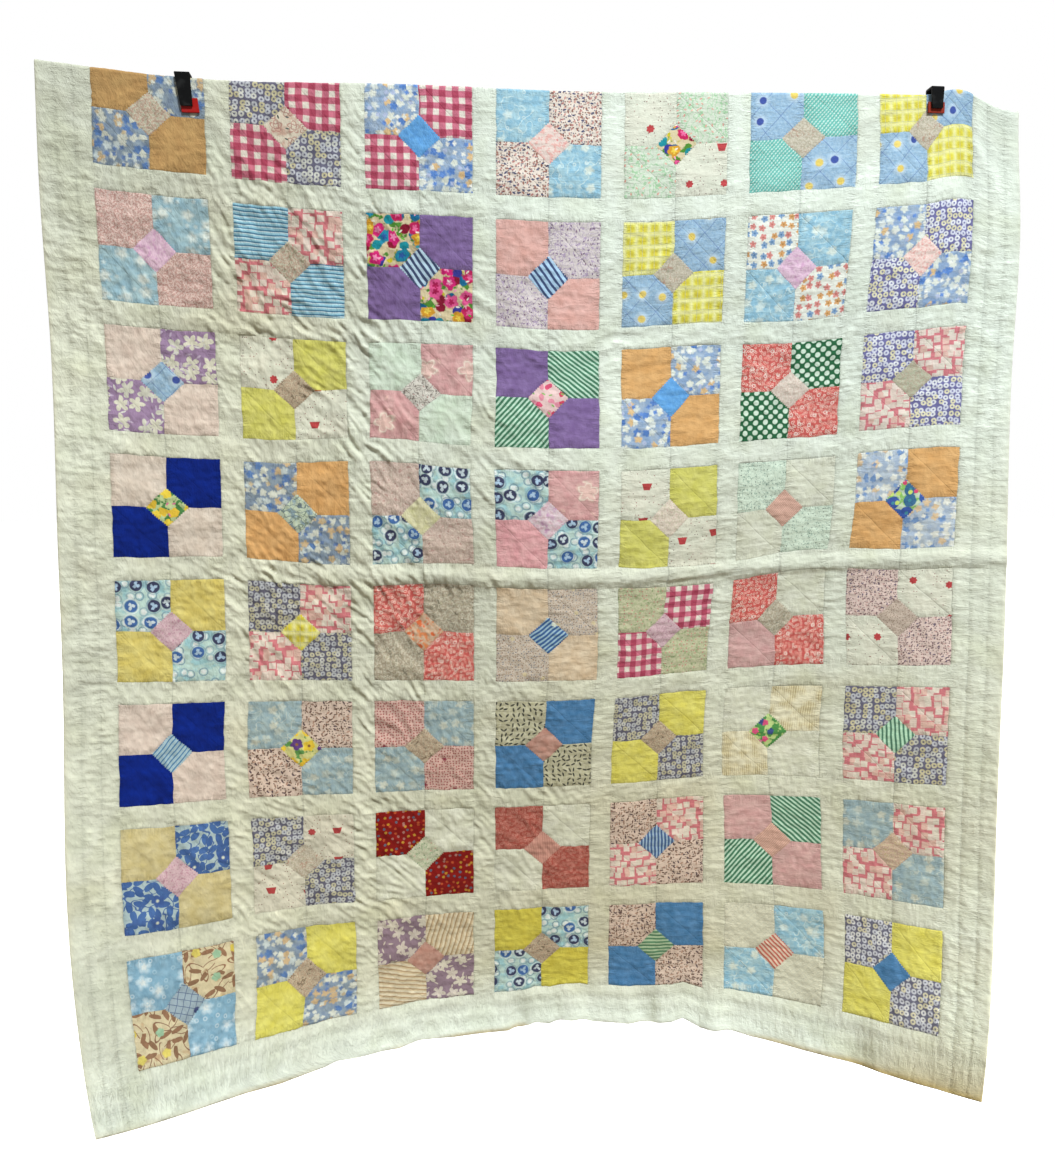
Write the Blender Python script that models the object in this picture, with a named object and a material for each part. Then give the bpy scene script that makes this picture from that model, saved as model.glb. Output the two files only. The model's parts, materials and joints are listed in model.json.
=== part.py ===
"""A patchwork quilt hung by two clips.

The quilt is one layered panel. Its top border is turned over to the back, so the top edge is a
fold, and a clip pinches the fold near each end. Units are metres, +Z is up, and the quilt's face
looks along -Y. The origin is on top of the fold, halfway along it.
"""

import math

import bmesh
import bpy
import numpy as np
from mathutils.bvhtree import BVHTree

# The panel, laid flat.
BLOCK = 0.2032
SASH = 0.0455
BORDER = 0.098
COLUMNS = 7
ROWS = 8
THICKNESS = 0.004
WIDTH = COLUMNS * BLOCK + (COLUMNS - 1) * SASH + 2 * BORDER
FRONT_LENGTH = ROWS * BLOCK + (ROWS - 1) * SASH + BORDER

# The fold at the top: the gap between front and back, and how far the tops of the first blocks lie
# behind the fold at each place across the quilt.
FOLD_GAP = 0.0025
PINCH_GAP = 0.0008
PINCH_REACH = 0.045
FOLD_RADIUS = (THICKNESS + FOLD_GAP) / 2
TURNED_OVER = {
    "across": (0, 0.16, 0.30, 0.45, 0.60, 0.78, 0.86, 0.95, 1),
    "depth": (0.030, 0.028, 0.0075, 0, -0.004, 0.014, 0.025, 0.0365, 0.0385),
}

# How the hanging panel bows: its distance behind the fold's plane at evenly spaced places down the
# front. The sides come forward and the middle swings back, more and more towards the hem.
BOW_COLUMNS = ("left_edge", "left_quarter", "middle", "right_quarter", "right_edge")
BOW_ROWS = (
    (0.000, 0.000, 0.000, 0.000, 0.000),
    (0.000, 0.015, 0.005, 0.000, -0.025),
    (0.020, 0.045, 0.015, 0.025, -0.020),
    (0.010, 0.050, 0.000, 0.040, -0.030),
    (-0.005, 0.075, 0.035, 0.075, -0.065),
    (-0.015, 0.090, 0.075, 0.100, -0.120),
    (-0.070, 0.090, 0.120, 0.105, -0.165),
    (-0.165, 0.080, 0.150, 0.090, -0.225),
    (-0.275, 0.050, 0.180, 0.065, -0.305),
)

# The fold's height at evenly spaced places across, and the drop of its free end past the right clip.
FOLD_HEIGHT = (0.016, -0.009, -0.005, -0.006, 0.001, 0.009, 0.014)
FOLD_DROOP = 0.028
DROOP_START = 0.925
# Just past the right clip the cloth is bunched up above the fold.
BUNCH = {"across": 1.768, "height": 0.013, "half_width": 0.075}

# The hem's corners swing outwards, and the middle of the cloth hangs a little shorter.
SPREAD_LEFT = 0.039
SPREAD_RIGHT = 0.034
SWAY = (-0.0025, 0.0098)
MIDDLE_TAKE_UP = 0.035
ALL_TAKE_UP = 0.0275

# The crease from storage: a soft ridge in the sash under the fourth row, which rises from nothing in
# the second column, at these shares of the width, and runs on to the right edge.
CREASE_LINE = 4 * BLOCK + 3.5 * SASH
CREASE_HEIGHT = 0.007
CREASE_HALF_WIDTH = 0.026
CREASE_START = 0.20
CREASE_FULL = 0.35

# Soft lobes of the hem: where each lies across the width, how far it stands forward, its half width.
HEM_LOBES = {
    "across": (0.29, 0.475, 0.535, 0.62, 0.70, 0.86),
    "forward": (0.008, -0.012, 0.012, -0.014, 0.010, -0.010),
    "half_width": (0.060, 0.028, 0.040, 0.036, 0.040, 0.060),
}
HEM_LOBE_LENGTH = 0.14
# The hem isn't even: how much it is drawn up at places across the width.
HEM_TUCKS = {
    "across": (0, 0.12, 0.20, 0.25, 0.264, 0.30, 0.336, 0.358, 0.40, 0.478, 0.493, 0.51, 0.524)
    + (0.545, 0.56, 0.62, 0.65, 0.663, 0.683, 0.70, 0.714, 0.74, 0.80, 0.87, 0.93, 1),
    "drawn_up": (0.002, 0.002, -0.002, 0.004, 0.010, 0.008, 0, 0.008, -0.002, -0.007, 0.010, 0.004, 0.018)
    + (0.018, 0.008, 0.003, 0.012, 0.024, 0.005, 0.004, 0.008, 0, -0.006, -0.006, -0.004, 0.003),
}
# How fast the fold's own ups and downs die out below it.
FADE = 6

# The clips: place across the quilt, lean of the arms in the fold's plane, the arm's width at its top
# and foot, the pad's width, height and offset, and how far arm and pad reach below the fold.
CLIPS = {
    "clip_left": {
        "across": 0.264,
        "lean": math.radians(7),
        "arm_top": 0.028,
        "arm_foot": 0.022,
        "pad_wide": 0.032,
        "pad_tall": 0.026,
        "pad_shift": 0.005,
        "arm_reach": 0.054,
        "pad_reach": 0.065,
    },
    "clip_right": {
        "across": 1.716,
        "lean": 0,
        "arm_top": 0.026,
        "arm_foot": 0.022,
        "pad_wide": 0.034,
        "pad_tall": 0.021,
        "pad_shift": 0,
        "arm_reach": 0.033,
        "pad_reach": 0.041,
    },
}
ARM_THICKNESS = 0.005
ARM_ROUND = 0.0012
SHOULDER = 0.004
PAD_THICKNESS = 0.0035
PAD_ROUND = 0.0008
SEAT_GAP = 0.0003
PROBES = 13
FOLD_CLEARANCE = 0.002

# The facets of the panel, and how many times closer together they lie at the clips, at the middle of
# the hem, at the storage crease and along the hem.
FRONT_CELLS = 44
FLAP_CELLS = 3
FOLD_CELLS = 4
ACROSS_CELLS = 38
CLOSER = {"clips": 1.6, "middle": 0.8, "crease": 5, "hem": 0.8}
MIDDLE_LOBES = {"across": 0.55, "half_width": 0.2}
CREASE_SHARE = 0.04
HEM_SHARE = 0.15
TABLE_STEPS = 240
NORMAL_STEP = 0.004


def remove_everything():
    for obj in list(bpy.data.objects):
        bpy.data.objects.remove(obj, do_unlink=True)


def material(name, color, roughness, metallic=0.0):
    """A plain finish with the piece's colour."""
    made = bpy.data.materials.new(name)
    made.use_nodes = True
    shader = made.node_tree.nodes["Principled BSDF"]
    shader.inputs["Base Color"].default_value = (*color, 1)
    shader.inputs["Roughness"].default_value = roughness
    shader.inputs["Metallic"].default_value = metallic
    return made


def finish_object(name, mesh, finish, smooth=True):
    obj = bpy.data.objects.new(name, mesh)
    bpy.context.scene.collection.objects.link(obj)
    mesh.materials.append(finish)
    if smooth:
        mesh.shade_smooth()
        mesh.set_sharp_from_angle(angle=math.radians(40))
    return obj


def spline_slopes(knots, values, level_start=False):
    """The slopes at the knots of the smooth cubic curve through the values."""
    count = len(knots)
    step = np.diff(knots)
    system = np.zeros((count, count))
    target = np.zeros((count,) + values.shape[1:])
    rise = np.diff(values, axis=0) / step.reshape(-1, *([1] * (values.ndim - 1)))
    for i in range(1, count - 1):
        system[i, i - 1] = step[i]
        system[i, i] = 2 * (step[i - 1] + step[i])
        system[i, i + 1] = step[i - 1]
        target[i] = 3 * (step[i] * rise[i - 1] + step[i - 1] * rise[i])
    system[0, 0] = 1 if level_start else 2
    system[0, 1] = 0 if level_start else 1
    target[0] = 0 if level_start else 3 * rise[0]
    system[-1, -1] = 2
    system[-1, -2] = 1
    target[-1] = 3 * rise[-1]
    return np.linalg.solve(system, target.reshape(count, -1)).reshape(target.shape)


def spline(knots, values, at, level_start=False):
    """The smooth cubic curve through the values, read at the places given."""
    knots = np.asarray(knots, float)
    values = np.asarray(values, float)
    slopes = spline_slopes(knots, values, level_start)
    at = np.asarray(at, float)
    piece = np.clip(np.searchsorted(knots, at, side="right") - 1, 0, len(knots) - 2)
    span = knots[piece + 1] - knots[piece]
    shape = (-1,) + (1,) * (values.ndim - 1)
    t = ((at - knots[piece]) / span).reshape(shape)
    span = span.reshape(shape)
    return (
        (1 + 2 * t) * (1 - t) ** 2 * values[piece]
        + t * (1 - t) ** 2 * span * slopes[piece]
        + t**2 * (3 - 2 * t) * values[piece + 1]
        + t**2 * (t - 1) * span * slopes[piece + 1]
    )


def running_sum(values, step, axis):
    """The integral of the values along an axis, from zero at its start."""
    values = np.moveaxis(values, axis, 0)
    total = np.zeros_like(values)
    total[1:] = np.cumsum((values[1:] + values[:-1]) / 2, axis=0) * step
    return np.moveaxis(total, 0, axis)


def bump(distance):
    """A soft hill: 1 in the middle, 0 from a distance of 1 outwards."""
    return np.where(np.abs(distance) < 1, (1 - distance**2) ** 2, 0)


def smooth_step(value):
    value = np.clip(value, 0, 1)
    return value * value * (3 - 2 * value)


def turned_over(across):
    """How far below the tops of the first blocks the fold lies."""
    return np.interp(across / WIDTH, TURNED_OVER["across"], TURNED_OVER["depth"])


def hem_depth(across):
    """How far below the fold the hem hangs."""
    tuck = np.interp(across / WIDTH, HEM_TUCKS["across"], HEM_TUCKS["drawn_up"])
    return FRONT_LENGTH - turned_over(across) - tuck


def crease(across, down):
    """The storage crease's height, on the face's side."""
    row = down + turned_over(across)
    start = smooth_step((across / WIDTH - CREASE_START) / (CREASE_FULL - CREASE_START))
    return CREASE_HEIGHT * start * bump((row - CREASE_LINE) / CREASE_HALF_WIDTH)


def hem_lobes(across, down):
    """How far the hem's lobes stand forward."""
    near_hem = smooth_step(1 - (hem_depth(across) - down) / HEM_LOBE_LENGTH)
    total = 0
    for place, forward, half_width in zip(*HEM_LOBES.values()):
        total = total + forward * bump((across - place * WIDTH) / half_width)
    return total * near_hem


def hanging_table():
    """The middle of the panel's front at every step of a fine table: its X, Y and Z."""
    across = np.linspace(0, WIDTH, TABLE_STEPS + 1)
    down = np.linspace(0, FRONT_LENGTH + turned_over(np.array([0.0]))[0], TABLE_STEPS + 1)
    across_step = across[1]
    down_step = down[1]
    rows = np.linspace(0, FRONT_LENGTH, len(BOW_ROWS))
    columns = np.linspace(0, WIDTH, len(BOW_COLUMNS))
    bow = spline(rows, BOW_ROWS, down, level_start=True)
    bow = spline(columns, bow.T, across).T
    side = 2 * across / WIDTH - 1
    share = (down / FRONT_LENGTH)[:, None]
    left = ((1 - side) / 2) ** 2
    right = ((1 + side) / 2) ** 2
    bow_across = np.gradient(bow, across_step, axis=1)
    x = running_sum(np.sqrt(1 - bow_across**2), across_step, 1)
    x = x - x[:, [TABLE_STEPS // 2]]
    x = x + SWAY[0] * share + SWAY[1] * share**2
    x = x + (SPREAD_RIGHT * right - SPREAD_LEFT * left) * share**3
    bow_down = np.gradient(bow, down_step, axis=0)
    x_down = np.gradient(x, down_step, axis=0)
    fall = running_sum(np.sqrt(1 - bow_down**2 - x_down**2), down_step, 0)
    top = spline(np.linspace(0, WIDTH, len(FOLD_HEIGHT)), FOLD_HEIGHT, across)
    droop = FOLD_DROOP * smooth_step((across / WIDTH - DROOP_START) / (1 - DROOP_START))
    bunch = BUNCH["height"] * bump((across - BUNCH["across"]) / BUNCH["half_width"])
    z = top + (bunch - droop) * np.exp(-share * FADE) - fall
    z = z + MIDDLE_TAKE_UP * share * (1 - side**2) + ALL_TAKE_UP * share
    return across_step, down_step, np.stack([x, bow, z], axis=-1)


ACROSS_STEP, DOWN_STEP, HANGING = hanging_table()
FOLD_MIDDLE = HANGING[0, TABLE_STEPS // 2].copy()


def read_table(across, down):
    a = np.clip(across / ACROSS_STEP, 0, TABLE_STEPS - 1e-6)
    d = np.clip(down / DOWN_STEP, 0, TABLE_STEPS - 1e-6)
    i = a.astype(int)
    j = d.astype(int)
    a = (a - i)[..., None]
    d = (d - j)[..., None]
    upper = HANGING[j, i] * (1 - a) + HANGING[j, i + 1] * a
    lower = HANGING[j + 1, i] * (1 - a) + HANGING[j + 1, i + 1] * a
    return upper * (1 - d) + lower * d


def pinched_gap(across):
    """The gap between front and back, which closes under the clips."""
    gap = np.full(np.shape(across), FOLD_GAP)
    for clip in CLIPS.values():
        near = bump((across - clip["across"]) / PINCH_REACH)
        gap = gap - (FOLD_GAP - PINCH_GAP) * near
    return gap


def panel_point(across, along, side):
    """A point on the panel's skin.

    along runs down the front from the fold's crown, and is negative behind it. side is +1 on the
    quilt's face and -1 on its backing.
    """
    across, along = np.broadcast_arrays(across, along)
    radius = (THICKNESS + pinched_gap(across)) / 2
    quarter = radius * math.pi / 2
    depth = np.maximum(np.abs(along), quarter)
    middle = read_table(across, depth)
    right = read_table(across + NORMAL_STEP, depth)
    left = read_table(across - NORMAL_STEP, depth)
    below = read_table(across, depth + NORMAL_STEP)
    above = read_table(across, depth - NORMAL_STEP)
    forward = np.cross(below - above, right - left)
    forward = forward / np.linalg.norm(forward, axis=-1, keepdims=True)
    relief = np.where(along > 0, crease(across, depth) + hem_lobes(across, depth), 0)
    middle = middle + forward * relief[..., None]
    up = np.array([0.0, 0.0, 1.0])
    turn = np.clip(along / quarter, -1, 1) * math.pi / 2
    shift = (np.sin(turn)[..., None] * forward + np.cos(turn)[..., None] * up)
    centre = middle - forward * radius[..., None]
    reach = radius + side * THICKNESS / 2
    point = centre + shift * reach[..., None]
    return point - FOLD_MIDDLE + np.array([0, FOLD_RADIUS, -FOLD_RADIUS - THICKNESS / 2])


def front_skin(across, down):
    """The face of the quilt at one place."""
    return panel_point(np.array(float(across)), np.array(float(down)), 1)


def across_stations():
    """Places across the panel, a little closer together at the clips and the hem's lobes."""
    fine = np.linspace(0, WIDTH, TABLE_STEPS + 1)
    density = np.ones_like(fine)
    for clip in CLIPS.values():
        density = density + CLOSER["clips"] * bump((fine - clip["across"]) / (2 * PINCH_REACH))
    lobes = (fine / WIDTH - MIDDLE_LOBES["across"]) / MIDDLE_LOBES["half_width"]
    density = density + CLOSER["middle"] * bump(lobes)
    total = running_sum(density, ACROSS_STEP, 0)
    return np.interp(np.linspace(0, total[-1], ACROSS_CELLS + 1), total, fine)


def down_shares():
    """Places down the front as shares of its length, closer together at the storage crease."""
    fine = np.linspace(0, 1, TABLE_STEPS + 1)
    crease_place = (fine - CREASE_LINE / FRONT_LENGTH) / CREASE_SHARE
    density = 1 + CLOSER["crease"] * bump(crease_place) + CLOSER["hem"] * bump((fine - 1) / HEM_SHARE)
    total = running_sum(density, 1 / TABLE_STEPS, 0)
    return np.interp(np.linspace(0, total[-1], FRONT_CELLS + 1), total, fine)


def panel_rows(across):
    """The along value of every row of facets, for one place across the panel."""
    quarter = (THICKNESS + float(pinched_gap(across))) / 2 * math.pi / 2
    flap = BORDER + float(turned_over(across))
    front = quarter + down_shares() * (float(hem_depth(across)) - quarter)
    round_top = np.linspace(-quarter, quarter, FOLD_CELLS + 1)
    behind = np.linspace(-flap, -quarter, FLAP_CELLS + 1)
    return np.concatenate([behind[:-1], round_top[:-1], front])


def build_quilt(finish):
    """The layered panel: face and backing skins, joined round all four edges."""
    stations = across_stations()
    rows = np.array([panel_rows(place) for place in stations]).T
    places = np.broadcast_to(stations, rows.shape)
    face = panel_point(places, rows, 1)
    backing = panel_point(places, rows, -1)
    shape = bmesh.new()
    skins = [[[shape.verts.new(point) for point in row] for row in skin] for skin in (face, backing)]
    front, back = skins
    last_row = len(rows) - 1
    last_column = len(stations) - 1
    for j in range(last_row):
        for i in range(last_column):
            shape.faces.new((front[j][i], front[j + 1][i], front[j + 1][i + 1], front[j][i + 1]))
            shape.faces.new((back[j][i], back[j][i + 1], back[j + 1][i + 1], back[j + 1][i]))
    for j in range(last_row):
        shape.faces.new((front[j][0], back[j][0], back[j + 1][0], front[j + 1][0]))
        ends = (front[j][-1], front[j + 1][-1], back[j + 1][-1], back[j][-1])
        shape.faces.new(ends)
    for i in range(last_column):
        shape.faces.new((front[0][i], front[0][i + 1], back[0][i + 1], back[0][i]))
        shape.faces.new((front[-1][i], back[-1][i], back[-1][i + 1], front[-1][i + 1]))
    bmesh.ops.triangulate(shape, faces=shape.faces)
    bmesh.ops.recalc_face_normals(shape, faces=shape.faces)
    mesh = bpy.data.meshes.new("quilt")
    shape.to_mesh(mesh)
    shape.free()
    return finish_object("quilt", mesh, finish)


def clip_point(clip, sideways, down):
    """A place in the plane of a clip's arms, as X and Z, measured from the fold's crown."""
    crown = front_skin(clip["across"], 0)
    return crown[0] + sideways + down * math.tan(clip["lean"]), crown[2] - down


def cloth_under_pad(clip, cloth):
    """The foremost and the rearmost Y of the pinched cloth behind a pad."""
    front = []
    rear = []
    low = clip["pad_reach"]
    half = clip["pad_wide"] / 2
    for down in np.linspace(low - clip["pad_tall"], low, PROBES):
        for sideways in np.linspace(clip["pad_shift"] - half, clip["pad_shift"] + half, PROBES):
            x, z = clip_point(clip, sideways, down)
            front.append(cloth.ray_cast((x, -1, z), (0, 1, 0))[0][1])
            rear.append(cloth.ray_cast((x, 1, z), (0, -1, 0))[0][1])
    return min(front), max(rear)


def crown_rise(clip, cloth):
    """How far the fold's crown climbs within the clip's width, above its height at the middle."""
    half = clip["arm_top"] / 2
    x, z = clip_point(clip, 0, 0)
    places = [x + sideways for sideways in np.linspace(-half, half, PROBES)]
    return max(cloth.ray_cast((place, FOLD_RADIUS, 1), (0, 0, -1))[0][2] for place in places) - z


def prism(clip, outlines, ends, rounding):
    """A solid between two outlines that each list (sideways, Y, down), with its end rims rounded."""
    shape = bmesh.new()
    rings = []
    for outline in outlines:
        ring = []
        for sideways, y, down in outline:
            x, z = clip_point(clip, sideways, down)
            ring.append(shape.verts.new((x, y, z)))
        rings.append(ring)
    caps = [shape.faces.new(rings[0]), shape.faces.new(rings[1][::-1])]
    count = len(rings[0])
    for i in range(count):
        j = (i + 1) % count
        shape.faces.new((rings[0][i], rings[1][i], rings[1][j], rings[0][j]))
    bmesh.ops.recalc_face_normals(shape, faces=shape.faces)
    rims = list({edge for cap in caps for edge in cap.edges}) if ends else list(shape.edges)
    bmesh.ops.bevel(shape, geom=rims, offset=rounding, segments=2, affect="EDGES", profile=0.5)
    bmesh.ops.triangulate(shape, faces=shape.faces)
    bmesh.ops.recalc_face_normals(shape, faces=shape.faces)
    return shape


def build_pad(name, clip, near, far, finish):
    """A flat red pad between two Y values."""
    low = clip["pad_reach"]
    high = low - clip["pad_tall"]
    sides = (clip["pad_shift"] - clip["pad_wide"] / 2, clip["pad_shift"] + clip["pad_wide"] / 2)
    outlines = [
        [(side, near, high), (side, far, high), (side, far, low), (side, near, low)] for side in sides
    ]
    shape = prism(clip, outlines, False, PAD_ROUND)
    mesh = bpy.data.meshes.new(name)
    shape.to_mesh(mesh)
    shape.free()
    return finish_object(name, mesh, finish)


def clip_profile(front, rear, reach, rise):
    """The U of a clip body seen from its side, as (Y, down) points, with round shoulders."""
    outer_front = front - ARM_THICKNESS
    outer_rear = rear + ARM_THICKNESS
    inner_top = -rise - FOLD_CLEARANCE
    shoulder = inner_top - ARM_THICKNESS + SHOULDER
    turns = [math.radians(angle) for angle in (0, 30, 60, 90)]
    points = [(outer_front, reach)]
    for turn in turns:
        y = outer_front + SHOULDER * (1 - math.cos(turn))
        points.append((y, shoulder - SHOULDER * math.sin(turn)))
    for turn in turns:
        y = outer_rear - SHOULDER * (1 - math.sin(turn))
        points.append((y, shoulder - SHOULDER * math.cos(turn)))
    points.append((outer_rear, reach))
    return points + [(rear, reach), (rear, inner_top), (front, inner_top), (front, reach)]


def build_clip_body(name, clip, front, rear, rise, finish):
    """The black body: a U over the fold that tapers from its shoulders to its feet."""
    outlines = []
    for hand in (-1, 1):
        outline = []
        for y, down in clip_profile(front, rear, clip["arm_reach"], rise):
            share = max(down, 0) / clip["arm_reach"]
            half = (clip["arm_top"] * (1 - share) + clip["arm_foot"] * share) / 2
            outline.append((hand * half, y, down))
        outlines.append(outline)
    shape = prism(clip, outlines, True, ARM_ROUND)
    mesh = bpy.data.meshes.new(name)
    shape.to_mesh(mesh)
    shape.free()
    return finish_object(name, mesh, finish)


def build_clip(name, clip, cloth, black, red):
    """One clip: a body over the fold, and a pad inside each arm that grips the cloth."""
    front, rear = cloth_under_pad(clip, cloth)
    front = front - SEAT_GAP
    rear = rear + SEAT_GAP
    outer_front = front - PAD_THICKNESS
    outer_rear = rear + PAD_THICKNESS
    build_pad(f"{name}_front_pad", clip, outer_front, front, red)
    build_pad(f"{name}_back_pad", clip, rear, outer_rear, red)
    front = outer_front - SEAT_GAP
    rear = outer_rear + SEAT_GAP
    build_clip_body(f"{name}_body", clip, front, rear, crown_rise(clip, cloth), black)


def main():
    remove_everything()
    muslin = material("quilt_cloth", (0.74, 0.76, 0.68), 0.85)
    black = material("clip_black", (0.012, 0.012, 0.012), 0.45)
    red = material("clip_red", (0.45, 0.02, 0.02), 0.55)
    quilt = build_quilt(muslin)
    bpy.context.view_layer.update()
    cloth = BVHTree.FromObject(quilt, bpy.context.evaluated_depsgraph_get())
    for name, clip in CLIPS.items():
        build_clip(name, clip, cloth, black, red)


main()
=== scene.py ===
# Looks of a patchwork quilt that hangs by its folded top edge from two clips.
# Pieced bow tie blocks, plain sashing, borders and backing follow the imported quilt's own surface.
import json
import math

import bpy
import numpy as np
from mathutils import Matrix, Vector

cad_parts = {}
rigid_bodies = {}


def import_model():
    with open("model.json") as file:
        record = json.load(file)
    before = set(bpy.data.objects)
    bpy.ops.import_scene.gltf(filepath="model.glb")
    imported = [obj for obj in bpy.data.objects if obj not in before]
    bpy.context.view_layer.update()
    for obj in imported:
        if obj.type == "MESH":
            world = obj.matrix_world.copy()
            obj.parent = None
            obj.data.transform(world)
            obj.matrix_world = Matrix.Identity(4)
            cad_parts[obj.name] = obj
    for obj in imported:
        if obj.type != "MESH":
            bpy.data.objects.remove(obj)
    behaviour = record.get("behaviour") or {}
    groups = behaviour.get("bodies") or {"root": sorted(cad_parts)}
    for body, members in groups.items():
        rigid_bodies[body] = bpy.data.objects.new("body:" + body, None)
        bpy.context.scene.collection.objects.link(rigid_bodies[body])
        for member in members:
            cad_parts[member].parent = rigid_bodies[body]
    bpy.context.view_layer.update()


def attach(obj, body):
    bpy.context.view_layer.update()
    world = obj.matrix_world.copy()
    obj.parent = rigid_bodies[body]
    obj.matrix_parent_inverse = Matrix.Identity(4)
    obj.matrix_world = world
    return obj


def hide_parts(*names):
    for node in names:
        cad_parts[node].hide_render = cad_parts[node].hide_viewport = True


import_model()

# Camera. Angles in degrees.
cameraPlan = {
    "place": (-0.2474, -2.0882, -0.7554),
    "turnedRight": 5.62,
    "turnedDown": 5.47,
    "lens": 32.56,
    "sensor": 36,
}


def addCamera():
    camera = bpy.data.objects.new("camera", bpy.data.cameras.new("camera"))
    bpy.context.scene.collection.objects.link(camera)
    camera.location = cameraPlan["place"]
    down = math.radians(90 - cameraPlan["turnedDown"])
    camera.rotation_euler = (down, 0, -math.radians(cameraPlan["turnedRight"]))
    camera.data.lens = cameraPlan["lens"]
    camera.data.sensor_width = cameraPlan["sensor"]
    camera.data.clip_end = 60
    bpy.context.scene.camera = camera


addCamera()

# The quilt laid flat, in metres. The rows are counted down from the tops of the first blocks.
cloth = {
    "block": 0.2032,
    "sash": 0.0455,
    "border": 0.098,
    "columns": 7,
    "rows": 8,
    "thickness": 0.004,
    "centreReach": 0.04064,  # from a block's middle to a corner of its centre square
}
step = cloth["block"] + cloth["sash"]
clothWidth = cloth["columns"] * step - cloth["sash"] + 2 * cloth["border"]
frontLength = cloth["rows"] * step - cloth["sash"] + cloth["border"]

# The fold at the top. turnedOver is how far the first blocks reach behind it, across the quilt.
fold = {
    "gap": 0.0025,
    "pinchGap": 0.0008,
    "pinchReach": 0.045,
    "across": (0, 0.16, 0.30, 0.45, 0.60, 0.78, 0.86, 0.95, 1),
    "turnedOver": (0.030, 0.028, 0.0075, 0, -0.004, 0.014, 0.025, 0.0365, 0.0385),
    "height": (0.016, -0.009, -0.005, -0.006, 0.001, 0.009, 0.014),
    "droop": 0.028,
    "droopStart": 0.925,
    "bunchAcross": 1.768,
    "bunchHeight": 0.013,
    "bunchHalfWidth": 0.075,
    "fade": 6,
}
foldRadius = (cloth["thickness"] + fold["gap"]) / 2

# How the quilt bows as it hangs: left edge, left quarter, middle, right quarter, right edge.
hanging = {
    "bow": (
        (0.000, 0.000, 0.000, 0.000, 0.000),
        (0.000, 0.015, 0.005, 0.000, -0.025),
        (0.020, 0.045, 0.015, 0.025, -0.020),
        (0.010, 0.050, 0.000, 0.040, -0.030),
        (-0.005, 0.075, 0.035, 0.075, -0.065),
        (-0.015, 0.090, 0.075, 0.100, -0.120),
        (-0.070, 0.090, 0.120, 0.105, -0.165),
        (-0.165, 0.080, 0.150, 0.090, -0.225),
        (-0.275, 0.050, 0.180, 0.065, -0.305),
    ),
    "spreadLeft": 0.039,
    "spreadRight": 0.034,
    "sway": (-0.0025, 0.0098),
    "middleTakeUp": 0.035,
    "allTakeUp": 0.0275,
    "tableSteps": 240,
    "normalStep": 0.004,
}

# The storage crease, a soft ridge under the fourth row, and the lobes and tucks of the hem.
creasePlan = {"height": 0.007, "halfWidth": 0.026, "start": 0.20, "full": 0.35}
creaseLine = 4 * cloth["block"] + 3.5 * cloth["sash"]
hem = {
    "lobeAcross": (0.29, 0.475, 0.535, 0.62, 0.70, 0.86),
    "lobeForward": (0.008, -0.012, 0.012, -0.014, 0.010, -0.010),
    "lobeHalfWidth": (0.060, 0.028, 0.040, 0.036, 0.040, 0.060),
    "lobeLength": 0.14,
    "tuckLength": 0.2,
    "tuckAcross": (0, 0.12, 0.20, 0.25, 0.264, 0.30, 0.336, 0.358, 0.40, 0.478, 0.493, 0.51, 0.524)
    + (0.545, 0.56, 0.62, 0.65, 0.663, 0.683, 0.70, 0.714, 0.74, 0.80, 0.87, 0.93, 1),
    "drawnUp": (0.002, 0.002, -0.002, 0.004, 0.010, 0.008, 0, 0.008, -0.002, -0.007, 0.010, 0.004)
    + (0.018, 0.018, 0.008, 0.003, 0.012, 0.024, 0.005, 0.004, 0.008, 0, -0.006, -0.006, -0.004, 0.003),
}
clips = {"clip_left": (0.264, 0.065), "clip_right": (1.716, 0.041)}  # across, reach below the fold


def splineSlopes(knots, values, levelStart=False):
    count = len(knots)
    gap = np.diff(knots)
    system = np.zeros((count, count))
    target = np.zeros((count,) + values.shape[1:])
    rise = np.diff(values, axis=0) / gap.reshape(-1, *([1] * (values.ndim - 1)))
    for i in range(1, count - 1):
        system[i, i - 1] = gap[i]
        system[i, i] = 2 * (gap[i - 1] + gap[i])
        system[i, i + 1] = gap[i - 1]
        target[i] = 3 * (gap[i] * rise[i - 1] + gap[i - 1] * rise[i])
    system[0, 0] = 1 if levelStart else 2
    system[0, 1] = 0 if levelStart else 1
    target[0] = 0 if levelStart else 3 * rise[0]
    system[-1, -1] = 2
    system[-1, -2] = 1
    target[-1] = 3 * rise[-1]
    return np.linalg.solve(system, target.reshape(count, -1)).reshape(target.shape)


def spline(knots, values, at, levelStart=False):
    knots = np.asarray(knots, float)
    values = np.asarray(values, float)
    slopes = splineSlopes(knots, values, levelStart)
    at = np.asarray(at, float)
    piece = np.clip(np.searchsorted(knots, at, side="right") - 1, 0, len(knots) - 2)
    span = knots[piece + 1] - knots[piece]
    shape = (-1,) + (1,) * (values.ndim - 1)
    t = ((at - knots[piece]) / span).reshape(shape)
    span = span.reshape(shape)
    return (
        (1 + 2 * t) * (1 - t) ** 2 * values[piece]
        + t * (1 - t) ** 2 * span * slopes[piece]
        + t**2 * (3 - 2 * t) * values[piece + 1]
        + t**2 * (t - 1) * span * slopes[piece + 1]
    )


def runningSum(values, gap, axis):
    values = np.moveaxis(values, axis, 0)
    total = np.zeros_like(values)
    total[1:] = np.cumsum((values[1:] + values[:-1]) / 2, axis=0) * gap
    return np.moveaxis(total, 0, axis)


def bump(distance):
    return np.where(np.abs(distance) < 1, (1 - distance**2) ** 2, 0)


def smoothStep(value):
    value = np.clip(value, 0, 1)
    return value * value * (3 - 2 * value)


def turnedOver(across):
    return np.interp(across / clothWidth, fold["across"], fold["turnedOver"])


def hemTuck(across):
    return np.interp(across / clothWidth, hem["tuckAcross"], hem["drawnUp"])


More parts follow.
